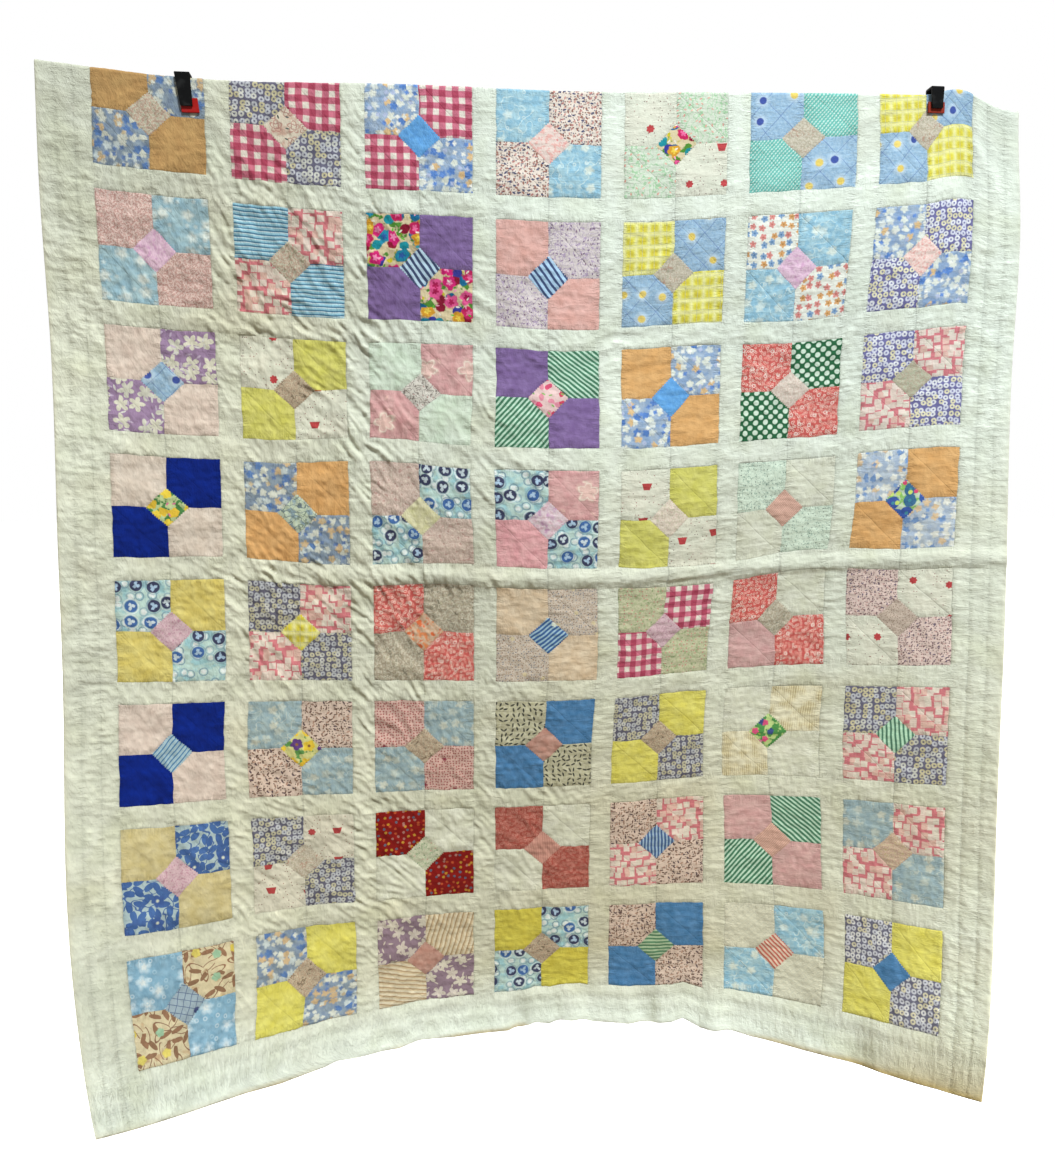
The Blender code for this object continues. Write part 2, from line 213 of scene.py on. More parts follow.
def crease(across, down):
    row = down + turnedOver(across)
    rise = creasePlan["full"] - creasePlan["start"]
    start = smoothStep((across / clothWidth - creasePlan["start"]) / rise)
    return creasePlan["height"] * start * bump((row - creaseLine) / creasePlan["halfWidth"])


def hemLobes(across, down):
    left = frontLength - turnedOver(across) - hemTuck(across) - down
    nearHem = smoothStep(1 - left / hem["lobeLength"])
    total = 0
    for place, forward, halfWidth in zip(hem["lobeAcross"], hem["lobeForward"], hem["lobeHalfWidth"]):
        total = total + forward * bump((across - place * clothWidth) / halfWidth)
    return total * nearHem


# The middle of the cloth at every step of a fine table, each length kept as it was cut.
def hangingTable():
    steps = hanging["tableSteps"]
    across = np.linspace(0, clothWidth, steps + 1)
    down = np.linspace(0, frontLength + turnedOver(np.array([0.0]))[0], steps + 1)
    bowRows = np.linspace(0, frontLength, len(hanging["bow"]))
    bowColumns = np.linspace(0, clothWidth, len(hanging["bow"][0]))
    bow = spline(bowRows, hanging["bow"], down, levelStart=True)
    bow = spline(bowColumns, bow.T, across).T
    side = 2 * across / clothWidth - 1
    share = (down / frontLength)[:, None]
    bowAcross = np.gradient(bow, across[1], axis=1)
    x = runningSum(np.sqrt(1 - bowAcross**2), across[1], 1)
    x = x - x[:, [steps // 2]]
    x = x + hanging["sway"][0] * share + hanging["sway"][1] * share**2
    spread = hanging["spreadRight"] * ((1 + side) / 2) ** 2 - hanging["spreadLeft"] * ((1 - side) / 2) ** 2
    x = x + spread * share**3
    bowDown = np.gradient(bow, down[1], axis=0)
    xDown = np.gradient(x, down[1], axis=0)
    fall = runningSum(np.sqrt(1 - bowDown**2 - xDown**2), down[1], 0)
    top = spline(np.linspace(0, clothWidth, len(fold["height"])), fold["height"], across)
    droop = fold["droop"] * smoothStep((across / clothWidth - fold["droopStart"]) / (1 - fold["droopStart"]))
    bunch = fold["bunchHeight"] * bump((across - fold["bunchAcross"]) / fold["bunchHalfWidth"])
    z = top + (bunch - droop) * np.exp(-share * fold["fade"]) - fall
    z = z + hanging["middleTakeUp"] * share * (1 - side**2) + hanging["allTakeUp"] * share
    return across[1], down[1], np.stack([x, bow, z], axis=-1)


acrossGap, downGap, hangingPoints = hangingTable()
foldMiddle = hangingPoints[0, hanging["tableSteps"] // 2].copy()


def readTable(across, down):
    last = hanging["tableSteps"] - 1e-6
    a = np.clip(across / acrossGap, 0, last)
    d = np.clip(down / downGap, 0, last)
    i = a.astype(int)
    j = d.astype(int)
    a = (a - i)[..., None]
    d = (d - j)[..., None]
    upper = hangingPoints[j, i] * (1 - a) + hangingPoints[j, i + 1] * a
    lower = hangingPoints[j + 1, i] * (1 - a) + hangingPoints[j + 1, i + 1] * a
    return upper * (1 - d) + lower * d


def pinchedGap(across):
    gap = np.full(np.shape(across), fold["gap"])
    for place, _ in clips.values():
        gap = gap - (fold["gap"] - fold["pinchGap"]) * bump((across - place) / fold["pinchReach"])
    return gap


# A point on the cloth's skin. along runs down the front from the fold and is negative behind it;
# side is 1 on the face and -1 on the backing; lift stands out of the skin.
def skinPoint(across, along, side, lift):
    radius = (cloth["thickness"] + pinchedGap(across)) / 2
    quarter = radius * math.pi / 2
    depth = np.maximum(np.abs(along), quarter)
    near = hanging["normalStep"]
    middle = readTable(across, depth)
    rightwards = readTable(across + near, depth) - readTable(across - near, depth)
    downwards = readTable(across, depth + near) - readTable(across, depth - near)
    forward = np.cross(downwards, rightwards)
    forward = forward / np.linalg.norm(forward, axis=-1, keepdims=True)
    relief = np.where(along > 0, crease(across, depth) + hemLobes(across, depth), 0)
    middle = middle + forward * relief[..., None]
    turn = np.clip(along / quarter, -1, 1) * math.pi / 2
    outward = np.sin(turn)[..., None] * forward + np.cos(turn)[..., None] * np.array([0.0, 0.0, 1.0])
    reach = radius + side * (cloth["thickness"] / 2 + lift)
    point = middle - forward * radius[..., None] + outward * reach[..., None]
    return point - foldMiddle + np.array([0, foldRadius, -foldRadius - cloth["thickness"] / 2])


print("surface ready")

# Smooth random ripples from -1 to 1, about one unit apart.
def ripples(x, y, seed):
    turns = np.random.default_rng(seed).uniform(0, 2 * math.pi, (256, 256))
    i = np.floor(x).astype(int)
    j = np.floor(y).astype(int)
    fx = x - i
    fy = y - j
    corner = {}
    for dx in (0, 1):
        for dy in (0, 1):
            turn = turns[(j + dy) % 256, (i + dx) % 256]
            corner[dx, dy] = np.cos(turn) * (fx - dx) + np.sin(turn) * (fy - dy)
    wx = fx**3 * (fx * (fx * 6 - 15) + 10)
    wy = fy**3 * (fy * (fy * 6 - 15) + 10)
    upper = corner[0, 0] * (1 - wx) + corner[1, 0] * wx
    lower = corner[0, 1] * (1 - wx) + corner[1, 1] * wx
    return (upper * (1 - wy) + lower * wy) * 1.5


# The maker's hand. Each nudge says where rows and columns wander: column line, row line, and how far
# sideways and down in millimetres. Column line 1.5 is the middle of the sash after the first column.
# waver is in millimetres too, and the other sizes in metres.
wander = {
    "reach": 0.21,
    "edge": 0.09,
    "waver": 1.4,
    "waverSize": 0.036,
    "waverStretch": 1.3,
    "waverEdge": 0.02,
    "nudges": (
        (1.8, 8.6, -16, 0),
        (1.4, 6.0, -7, 0),
        (3.2, 3.6, -9, 0),
        (2.6, 3.4, 0, -13),
        (4.1, 2.2, 0, 11),
        (1.4, 4.4, 0, -8),
        (3.2, 4.7, 0, -8),
        (6.3, 4.8, -6, -13),
        (5.3, 4.4, 6, 8),
        (6.0, 6.1, -12, 0),
        (7.0, 4.6, -7, 0),
        (4.3, 5.2, 8, 0),
        (6.3, 7.9, 7, 0),
        (6.8, 1.6, 9, 0),
        (6.0, 2.4, 0, 8),
        (2.0, 7.4, 0, -8),
        (7.0, 3.5, 0, -6),
        (6.5, 0.9, 13, 0),
        (2.0, 8.9, -7, 0),
    ),
}


def wandered(across, down):
    sideways = np.zeros(np.broadcast(across, down).shape)
    lower = np.zeros_like(sideways)
    for column, row, right, drop in wander["nudges"]:
        x = cloth["border"] + (column - 0.5) * step - cloth["sash"] / 2
        y = (row - 0.5) * step - cloth["sash"] / 2
        near = bump(np.minimum(np.hypot(across - x, down - y) / wander["reach"], 1))
        sideways = sideways + right / 1000 * near
        lower = lower + drop / 1000 * near
    edge = wander["edge"]
    sideways = sideways * smoothStep(across / edge) * smoothStep((clothWidth - across) / edge)
    lower = lower * smoothStep(down / edge) * smoothStep((frontLength - down) / edge)
    tuck = hemTuck(across) * smoothStep(1 - (frontLength - down) / hem["tuckLength"])
    waver = wander["waver"] / 1000
    size = wander["waverSize"]
    stretch = wander["waverStretch"]
    sideways = sideways + waver * ripples(across / size, down / size * stretch, 51)
    lower = lower + waver * ripples(across / size * stretch, down / size, 52)
    inside = smoothStep(np.minimum(across, clothWidth - across) / wander["waverEdge"])
    inside = inside * smoothStep((frontLength - down) / wander["waverEdge"])
    return across + sideways * inside, down + lower * inside - tuck


def turnedRipples(across, down, angle, wide, long, seed):
    turn = math.radians(angle)
    along = across * math.cos(turn) + down * math.sin(turn)
    aside = across * math.sin(turn) - down * math.cos(turn)
    return ripples(aside / wide, along / long, seed)


def nearest(values, lines):
    return np.abs(values[..., None] - np.asarray(lines)).min(axis=-1)


# Where seams and quilting lines lie, across and down.
blockLefts = [cloth["border"] + i * step for i in range(cloth["columns"])]
blockTops = [i * step for i in range(cloth["rows"])]
borderThirds = [cloth["border"] * share for share in (1 / 3, 2 / 3)]
edgesAcross = [line + side for line in blockLefts for side in (0, cloth["block"])]
edgesDown = [line + side for line in blockTops for side in (0, cloth["block"])]
middlesAcross = [line + cloth["block"] / 2 for line in blockLefts]

# Puffs, ditches, puckers and swells of the quilted cloth, in millimetres. Shares have no unit.
relief = {
    "puff": 0.5,
    "puffWide": 10,
    "puffSunk": 0.4,
    "backPuffShare": 0.6,
    "ditch": 0.35,
    "ditchWide": 2.8,
    "slantDitch": 0.4,
    "borderDitch": 0.9,
    "borderDitchWide": 3.4,
    "footDitchShare": 0.7,  # how much deeper the border's ditches are at the foot
    "pullStart": 0.25,  # share of the way across where the pull to the right clip sets in
    "pullSpread": 0.35,
    "puckerReach": 14,
    "levelShare": 0.30,
    "uprightShare": 0.24,
    "leastShare": 0.03,
    "tautShare": 0.36,
    "tautTopShare": 0.25,
    "tautTopReach": 0.3,  # metres
    "pucker": 2.4,
    "puckerWide": 8,
    "puckerLong": 36,
    "blockShare": 0.75,
    "blockEdgeShare": 0.3,
    "blockEdgeWide": 12,
    "sideBorderShare": 0.85,
    "crumple": 1.5,
    "crumpleSize": 12,
    "soft": 3.2,
    "softSize": 44,
    "softStretch": 0.8,
    "most": 7.5,
}
# How all drag folds bend, fade and mix: a fine ripple and a broader creased one.
foldMix = {
    "bend": 11,
    "bendSize": 62,
    "calmSize": 75,
    "calmShare": 0.4,
    "inBlockShare": 0.55,
    "plainShare": 0.45,  # added where there is no patchwork
    "fineShare": 0.45,
    "broadShare": 0.55,
    "broadWide": 1.8,
    "broadTurn": 10,
    "creaseTop": 0.5,
    "creaseSlope": 1.7,
}
# Folds that fan out from each clip, in millimetres and metres, and how its pads press the cloth.
fanPlan = {
    "height": 3.2,
    "start": 0.01,
    "turn": 0.17,
    "long": 0.3,
    "reach": 0.13,
    "padHalfWidth": 0.03,
    "padBelow": 0.02,
    "padFade": 0.03,
    "sunkUnderPads": 0.9,
}
# Where the turned-over flap lies behind the front, and how the relief fades over the fold, in metres.
flapPlan = {
    "reach": 0.15,
    "fade": 0.04,
    "calmShare": 0.3,
    "atFold": 0.3,
    "awayShare": 0.7,
    "foldHalfWidth": 0.004,
    "foldFade": 0.04,
}
# Drag folds: middle across and down, half width and half length in metres, slope of the folds in
# degrees, their width and length in millimetres, and their height.
dragFolds = (
    (0.50, 0.30, 0.34, 0.50, 56, 10, 130, 7.0),
    (0.36, 0.42, 0.11, 0.60, 66, 10, 120, 7.5),
    (0.37, 1.10, 0.12, 0.60, 62, 9.5, 110, 8.5),
    (0.37, 1.70, 0.14, 0.50, 55, 9, 90, 7.5),
    (0.60, 0.62, 0.15, 0.60, 56, 10.5, 140, 10),
    (0.62, 1.18, 0.15, 0.55, 58, 10, 110, 10),
    (0.60, 1.65, 0.18, 0.40, 45, 9.5, 100, 9.0),
    (0.85, 0.60, 0.26, 0.50, 52, 11, 110, 5.5),
    (0.86, 1.50, 0.26, 0.50, 60, 10, 90, 5.5),
    (0.42, 1.00, 0.30, 0.18, 40, 10, 90, 8.5),
    (0.45, 0.50, 0.24, 0.30, 30, 11, 110, 7.5),
    (0.42, 1.50, 0.34, 0.24, 36, 9.5, 80, 6.5),
    (0.70, 0.99, 0.36, 0.07, 80, 12, 60, 7.0),
    (1.12, 0.50, 0.34, 0.13, -6, 18, 150, 4.0),
    (1.46, 0.50, 0.20, 0.34, -48, 13, 100, 2.5),
    (1.40, 1.02, 0.46, 0.14, 3, 12, 120, 2.5),
    (1.30, 1.42, 0.50, 0.34, -22, 12, 100, 2.2),
    (0.16, 0.55, 0.16, 0.60, 74, 11, 110, 4.0),
    (0.16, 1.50, 0.18, 0.50, 58, 10.5, 90, 6.5),
    (0.06, 1.20, 0.06, 0.80, 12, 8, 34, 4.0),
    (0.06, 0.45, 0.06, 0.50, 12, 8, 34, 3.0),
)


# In metres. Lines this near count as met, where the sashes cross their lines count as further away, and
# noLine stands for none at all.
touching = 1e-6
beyondCrossing = 0.006
noLine = 0.05


def blockPlace(across, down):
    x = (across - cloth["border"] + cloth["sash"] / 2) % step - step / 2
    y = (down + cloth["sash"] / 2) % step - step / 2
    return x, y


# How far it is to the nearest upright and the nearest level line of stitches. The sashes cross without
# a line, and the side and foot borders have lines of their own.
def seamDistances(p, q):
    x, y = blockPlace(p, q)
    half = cloth["block"] / 2
    atSide = (p < cloth["border"] - touching) | (p > clothWidth - cloth["border"] + touching)
    atEnd = (q < -touching) | (q > frontLength - cloth["border"] + touching)
    wideX = np.abs(x) >= half - touching
    wideY = np.abs(y) >= half - touching
    inCentre = ~wideX & ~wideY & (np.abs(x) + np.abs(y) < cloth["centreReach"])
    across = np.minimum(nearest(p, edgesAcross), np.where(inCentre, 1, np.abs(x)))
    down = np.minimum(nearest(q, edgesDown), np.where(inCentre | wideX, 1, np.abs(y)))
    across = np.where(wideX & wideY, across + beyondCrossing, across)
    down = np.where(wideX & wideY, down + beyondCrossing, down)
    sideLines = [cloth["border"]] + borderThirds
    sideLines += [clothWidth - line for line in sideLines]
    endLines = [0, frontLength - cloth["border"]]
    endLines += [frontLength - line for line in borderThirds] + [-line for line in borderThirds]
    across = np.where(atSide, nearest(p, sideLines), np.where(atEnd, noLine, across))
    down = np.where(atEnd, nearest(q, endLines), np.where(atSide, noLine, down))
    return across, down


# Crisp tops and broad hollows.
def creased(values):
    return foldMix["creaseTop"] - foldMix["creaseSlope"] * np.abs(values)


# The padding between seams, in millimetres. line is how far it is to the nearest line of stitches.
def puffHeight(p, q, distances, slantLine, line):
    inRange = (p > cloth["border"]) & (p < clothWidth - cloth["border"]) & (q > 0)
    inRange = inRange & (q < frontLength - cloth["border"])
    puffs = relief["puff"] * (1 - np.exp(-line / relief["puffWide"])) - relief["puffSunk"]
    for distance in distances:
        puffs = puffs - relief["ditch"] * np.exp(-((distance / relief["ditchWide"]) ** 2))
    puffs = puffs - relief["slantDitch"] * np.exp(-((slantLine / relief["ditchWide"]) ** 2))
    atFoot = q > frontLength - cloth["border"]
    deep = relief["borderDitch"] * ~inRange * (1 + relief["footDitchShare"] * atFoot)
    return puffs - deep * np.exp(-((line / relief["borderDitchWide"]) ** 2))


# Puckers stand at right angles to the nearest seams, over small crumples and soft swells.
def puckerHeight(u, s, acrossLine, downLine, line, inBlock, pull):
    across = u * 1000
    down = s * 1000
    level = np.exp(-acrossLine / relief["puckerReach"]) + relief["levelShare"] * pull + relief["leastShare"]
    upright = np.exp(-downLine / relief["puckerReach"])
    upright = upright + relief["uprightShare"] * (1 - pull) + relief["leastShare"]
    total = level + upright
    short = relief["puckerWide"]
    long = relief["puckerLong"]
    topShare = relief["tautTopShare"] * np.exp(-((s / relief["tautTopReach"]) ** 2))
    taut = 1 - pull * (relief["tautShare"] + topShare)
    inside = relief["blockShare"] + relief["blockEdgeShare"] * np.exp(-line / relief["blockEdgeWide"])
    near = relief["pucker"] * np.where(inBlock, inside, 1) * taut
    atSide = np.minimum(u, clothWidth - u) < cloth["border"]
    near = near * np.where(atSide, relief["sideBorderShare"], 1)
    waves = near * level / total * ripples(across / long, down / short, 3)
    waves = waves + near * upright / total * ripples(across / short, down / long, 4)
    size = relief["crumpleSize"]
    waves = waves + relief["crumple"] * taut * ripples(across / size, down / size, 7)
    size = relief["softSize"]
    return waves + relief["soft"] * taut * ripples(across / size * relief["softStretch"], down / size, 8)


def addDragFolds(waves, u, s, inBlock):
    across = u * 1000
    down = s * 1000
    size = foldMix["bendSize"]
    bentAcross = across + foldMix["bend"] * ripples(across / size, down / size, 17)
    bentDown = down + foldMix["bend"] * ripples(across / size, down / size, 18)
    size = foldMix["calmSize"]
    for number, dragFold in enumerate(dragFolds):
        midAcross, midDown, halfWide, halfLong, slope, wide, long, height = dragFold
        away = np.hypot((u - midAcross) / halfWide, (s - midDown) / halfLong)
        window = bump(np.minimum(away, 1)) * (foldMix["inBlockShare"] + foldMix["plainShare"] * ~inBlock)
        calm = smoothStep(0.5 + ripples(across / size, down / size, 90 + number))
        window = window * (foldMix["calmShare"] + calm)
        fine = turnedRipples(bentAcross, bentDown, slope, wide, long, 40 + number)
        broadWide = wide * foldMix["broadWide"]
        broadSlope = slope - foldMix["broadTurn"]
        broad = turnedRipples(bentAcross, bentDown, broadSlope, broadWide, long, 70 + number)
        folds = foldMix["fineShare"] * fine + foldMix["broadShare"] * creased(broad)
        waves = waves + height * window * folds
    return waves


# Puffs are the padding between seams, and waves move the face and the backing together. Also given:
# how far the cloth lies over the flap, and how strongly it is pulled to the right clip.
def quiltRelief(p, q, u, s):
    mm = 1000
    x, y = blockPlace(p, q)
    half = cloth["block"] / 2
    inBlock = (p > cloth["border"]) & (p < clothWidth - cloth["border"]) & (q > 0)
    inBlock = inBlock & (q < frontLength - cloth["border"])
    inBlock = inBlock & (np.abs(x) <= half + touching) & (np.abs(y) <= half + touching)
    centre = np.abs(x) + np.abs(y)
    acrossLine, downLine = seamDistances(p, q)
    centreLine = np.where(inBlock, np.abs(centre - cloth["centreReach"]) / math.sqrt(2), 1)
    slantLine = np.where(inBlock, np.abs(np.abs(x - y) - half) / math.sqrt(2), 1)
    line = np.minimum(np.minimum(acrossLine, downLine), centreLine) * mm
    distances = (acrossLine * mm, downLine * mm, centreLine * mm)
    puffs = puffHeight(p, q, distances, slantLine * mm, line)
    pull = smoothStep((u / clothWidth - relief["pullStart"]) / relief["pullSpread"])
    waves = puckerHeight(u, s, acrossLine * mm, downLine * mm, line, inBlock, pull)
    waves = addDragFolds(waves, u, s, inBlock)
    along = s - turnedOver(u)
    pressed = np.ones_like(waves)
    for number, (place, reach) in enumerate(clips.values()):
        turn = np.arctan2(u - place, np.maximum(along, 0) + fanPlan["start"])
        away = np.hypot(u - place, along - reach)
        fan = ripples(turn / fanPlan["turn"], away / fanPlan["long"], 21 + number)
        near = bump(np.minimum(np.abs(away - fanPlan["reach"]) / fanPlan["reach"], 1))
        waves = waves + fanPlan["height"] * fan * near
        pinched = bump(np.minimum(np.abs(u - place) / fanPlan["padHalfWidth"], 1)) ** 0.5
        under = smoothStep((reach + fanPlan["padBelow"] - np.abs(along)) / fanPlan["padFade"])
        pressed = pressed * (1 - pinched * under)
    waves = relief["most"] * np.tanh(waves / relief["most"])
    puffs = puffs * pressed - fanPlan["sunkUnderPads"] * (1 - pressed)
    flap = smoothStep((flapPlan["reach"] - np.abs(along)) / flapPlan["fade"])
    free = smoothStep((np.abs(along) + flapPlan["foldHalfWidth"]) / flapPlan["foldFade"])
    free = flapPlan["atFold"] + flapPlan["awayShare"] * free
    waves = waves / mm * pressed * free * (1 - flapPlan["calmShare"] * flap)
    return puffs / mm * free, waves, flap, pull


# Rims, in metres from the outer edges, which are rolled so that face and backing meet.
rimSteps = (0.0, 0.0005, 0.0016, 0.0034)


def rimDrop(p, q):
    half = cloth["thickness"] / 2
    inside = np.minimum(np.minimum(p, clothWidth - p), np.minimum(q + cloth["border"], frontLength - q))
    share = np.clip(inside / rimSteps[-1], 0, 1)
    return -half * (1 - np.sqrt(1 - (1 - share) ** 2)), share


def spread(start, end, cells):
    return list(np.linspace(start, end, cells + 1)[1:])


# Grid lines of the cloth: every seam lies on one.
def gridLines(first, last, blockStarts, blockCells, sashCells, borderCells, fineTop=0):
    lines = [first + rim for rim in rimSteps]
    lines += spread(lines[-1], blockStarts[0], borderCells)
    for number, start in enumerate(blockStarts):
        end = start + cloth["block"]
        if number == 0 and fineTop:
            share = start + cloth["block"] * fineTop / blockCells
            lines += spread(start, share, fineTop * 2) + spread(share, end, blockCells - fineTop)
        else:
            lines += spread(start, end, blockCells)
        if number < len(blockStarts) - 1:
            lines += spread(end, blockStarts[number + 1], sashCells)
    lines += spread(end, last - rimSteps[-1], borderCells)
    lines += [last - rim for rim in rimSteps[-2::-1]]
    return np.array(lines)


# More rows of cells where the cloth goes over the fold, in metres from the tops of the first blocks.
overFold = {"first": -0.020, "last": -0.001, "gap": 0.002, "clear": 0.0008}


# A skin of the whole quilt: its pattern places p and q, its points, its stains and yellowing with some
# painted shade, its painted light and shade, and how strongly it is pulled to the right clip.
def makeSkin(side, blockCells, sashCells, borderCells, topCells, fineTop):
    p = gridLines(0, clothWidth, blockLefts, blockCells, sashCells, borderCells)
    q = gridLines(-cloth["border"], frontLength, blockTops, blockCells, sashCells, topCells, fineTop)
    extra = np.arange(overFold["first"], overFold["last"], overFold["gap"])
    extra = [line for line in extra if np.abs(q - line).min() > overFold["clear"]]
    q = np.sort(np.concatenate([q, extra]))
    pp, qq = np.meshgrid(p, q)
    u, s = wandered(pp, qq)
    rim, inside = rimDrop(pp, qq)
    puffs, waves, flap, pull = quiltRelief(pp, qq, u, s)
    if side > 0:
        lift = puffs + waves
    else:
        lift = np.minimum(puffs * relief["backPuffShare"], 0) - waves * (1 - flap)
        lift = lift + np.minimum(-waves, 0) * flap
    lift = lift * inside + rim
    # Painted shade in the hollows of the relief and painted highlight on its crests.
    reliefShade = np.clip((puffs + waves) * finishPlan["paintedShadingPerMetre"], -0.5, 0.5) * finishPlan["wear"]
    return {
        "p": p,
        "q": q,
        "pp": pp,
        "qq": qq,
        "points": skinPoint(u, s - turnedOver(u), side, lift),
        "stain": stainAndShadeShare(u, s),
        # Painted light and shade: that of the relief plus the table of brighter and darker places.
        "wear": reliefShade + unevenly(yellowingAndPaintedLight["paintedLightAndShade"], u, s),
        "pull": pull,
    }


# Uneven tint, from the left edge to the right in each row: how much yellowing, which is partly painted
# shade, and how much brighter or darker, which is painted light and shade.
yellowingAndPaintedLight = {
    "rows": (0.05, 0.25, 0.5, 0.75, 0.9, 1),  # share of the way down
    # Yellowing, partly painted shade where the quilt falls darker.
    "yellowingAndPaintedShade": (
        (0.30, 0.34, 0.08, 0.02, 0.00, 0.05),
        (0.36, 0.42, 0.14, 0.10, 0.02, 0.02),
        (0.36, 0.46, 0.38, 0.32, 0.26, 0.26),
        (0.40, 0.52, 0.48, 0.58, 0.46, 0.42),
        (0.36, 0.50, 0.56, 0.62, 0.48, 0.26),
        (0.20, 0.18, 0.16, 0.14, 0.14, 0.40),
    ),
    # Painted light and shade: how much brighter or darker each place is.
    "paintedLightAndShade": (
        (-0.16, -0.10, -0.05, 0.00, 0.02, -0.10),
        (0.04, -0.03, -0.12, -0.05, -0.05, 0.03),
        (-0.06, 0.02, -0.02, 0.01, -0.02, -0.02),
        (-0.06, -0.02, 0.01, 0.03, 0.04, 0.12),
        (-0.17, -0.02, -0.02, 0.00, 0.05, 0.30),
        (-0.06, 0.02, 0.24, 0.30, 0.22, 0.18),
    ),
}


def unevenly(table, u, s):
    table = np.array(table)
    column = np.clip(u / clothWidth, 0, 1) * (table.shape[1] - 1)
    row = np.interp(s / frontLength, yellowingAndPaintedLight["rows"], range(len(table)))
    i = np.minimum(column.astype(int), table.shape[1] - 2)
    j = np.minimum(row.astype(int), len(table) - 2)
    a = smoothStep(column - i)
    b = smoothStep(row - j)
    upper = table[j, i] * (1 - a) + table[j, i + 1] * a
    lower = table[j + 1, i] * (1 - a) + table[j + 1, i + 1] * a
    return upper * (1 - b) + lower * b


# Old stains: the hem's edge, the lower right corner, the side edges and a few faint clouds.
# Lengths are in metres, and corner shares go across the quilt.
stains = {
    "hem": 0.6,
    "hemStart": 0.001,
    "hemFade": 0.003,
    "corner": 0.5,
    "cornerFade": 0.045,
    "cornerStart": 0.80,
    "cornerSpread": 0.14,
    "sides": 0.15,
    "sidesFade": 0.004,
    "clouds": 0.10,
    "cloudWide": 0.23,
    "cloudLong": 0.19,
    "wispWide": 0.08,
    "wispLong": 0.07,
    "wispShare": 0.5,
}


# The stains plus the table of yellowing, so that part of this share is painted shade.
def stainAndShadeShare(u, s):
    hemAway = frontLength - s
    share = stains["hem"] * np.exp(-np.maximum(hemAway - stains["hemStart"], 0) / stains["hemFade"])
    corner = smoothStep((u / clothWidth - stains["cornerStart"]) / stains["cornerSpread"])
    share = share + stains["corner"] * np.exp(-hemAway / stains["cornerFade"]) * corner
    share = share + stains["sides"] * np.exp(-np.minimum(u, clothWidth - u) / stains["sidesFade"])
    cloud = ripples(u / stains["cloudWide"], s / stains["cloudLong"], 31)
    wisp = ripples(u / stains["wispWide"], s / stains["wispLong"], 32)
    share = share + stains["clouds"] * smoothStep(cloud + stains["wispShare"] * wisp)
    return np.clip(share + unevenly(yellowingAndPaintedLight["yellowingAndPaintedShade"], u, s), 0, 1)


def cellCorners(skin, rows, columns):
    wide = len(skin["p"])
    j, i = np.meshgrid(rows, columns, indexing="ij")
    first = (j * wide + i).ravel()
    return np.stack([first, first + wide, first + wide + 1, first + 1], axis=1)


# A mesh from chosen faces of a skin. UV map flat is the cloth as it was cut, and piecing is where the
# seams lie. shifts and turned say where each face's patch was cut from its cloth.
def makePiece(name, skin, faces, materials, piecing, slots=None, shifts=None, turned=None):
    points = skin["points"].reshape(-1, 3)
    pattern = np.stack([skin["pp"].ravel(), skin["qq"].ravel()], axis=1)
    loops = np.concatenate(faces)
    sizes = np.array([len(face) for face in faces])
    used, local = np.unique(loops, return_inverse=True)
    ends = np.cumsum(sizes)
    corners = [local[end - size : end].tolist() for end, size in zip(ends, sizes)]
    following = np.arange(1, len(loops) + 1)
    following[ends - 1] = ends - sizes
    mesh = bpy.data.meshes.new(name)
    mesh.from_pydata(points[used], [], corners)
    flat = pattern[loops]
    if turned is not None:
        flip = np.repeat(turned, sizes)[:, None]
        flat = np.where(flip, flat[:, ::-1] * np.array([1, -1]), flat)
    if shifts is not None:
        flat = flat + np.repeat(shifts, sizes, axis=0)
    for label, values in (("flat", flat), ("piecing", piecing[loops])):
        layer = mesh.uv_layers.new(name=label)
        layer.data.foreach_set("uv", values.astype(np.float32).ravel())
    # The first carries stains and yellowing with some painted shade, the second painted light and shade.
    for label in ("stain", "wear", "pull"):
        layer = mesh.attributes.new(label, "FLOAT", "POINT")
        layer.data.foreach_set("value", skin[label].reshape(-1)[used].astype(np.float32))
    for material in materials:
        mesh.materials.append(material)
    if slots is not None:
        mesh.polygons.foreach_set("material_index", np.asarray(slots, dtype=np.int32))
    mesh.polygons.foreach_set("use_smooth", np.ones(len(corners), dtype=bool))
    piece = bpy.data.objects.new(name, mesh)
    bpy.context.scene.collection.objects.link(piece)
    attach(piece, "root")
    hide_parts("quilt")
    return piece


# Shader maths. A thread is a socket that adds Math nodes when it is used in an expression.
class Thread:
    def __init__(self, loom, socket):
        self.loom = loom
        self.socket = socket

    def maths(self, operation, *values, clamp=False):
        settings = {"operation": operation, "use_clamp": clamp}
        return self.loom.node("ShaderNodeMath", settings, dict(enumerate(values)))

    def __add__(self, other):
        return self.maths("ADD", self, other)

    def __radd__(self, other):
        return self.maths("ADD", other, self)

    def __sub__(self, other):
        return self.maths("SUBTRACT", self, other)

    def __rsub__(self, other):
        return self.maths("SUBTRACT", other, self)

    def __mul__(self, other):
        return self.maths("MULTIPLY", self, other)

    def __rmul__(self, other):
        return self.maths("MULTIPLY", other, self)

    def __truediv__(self, other):
        return self.maths("DIVIDE", self, other)

    def __abs__(self):
        return self.maths("ABSOLUTE", self)

    def __lt__(self, other):
        return self.maths("LESS_THAN", self, other)

    def least(self, other):
        return self.maths("MINIMUM", self, other)

    def most(self, other):
        return self.maths("MAXIMUM", self, other)

    def clamped(self):
        return self.maths("ADD", self, 0, clamp=True)

    def hill(self, width):
        return self.maths("EXPONENT", (self / width) * (self / width) * -1)

    def output(self, name):
        return Thread(self.loom, self.socket.node.outputs[name])


def dye(code):
    parts = [int(code[i : i + 2], 16) / 255 for i in (0, 2, 4)]
    linear = [part / 12.92 if part <= 0.04045 else ((part + 0.055) / 1.055) ** 2.4 for part in parts]
    return (*linear, 1)


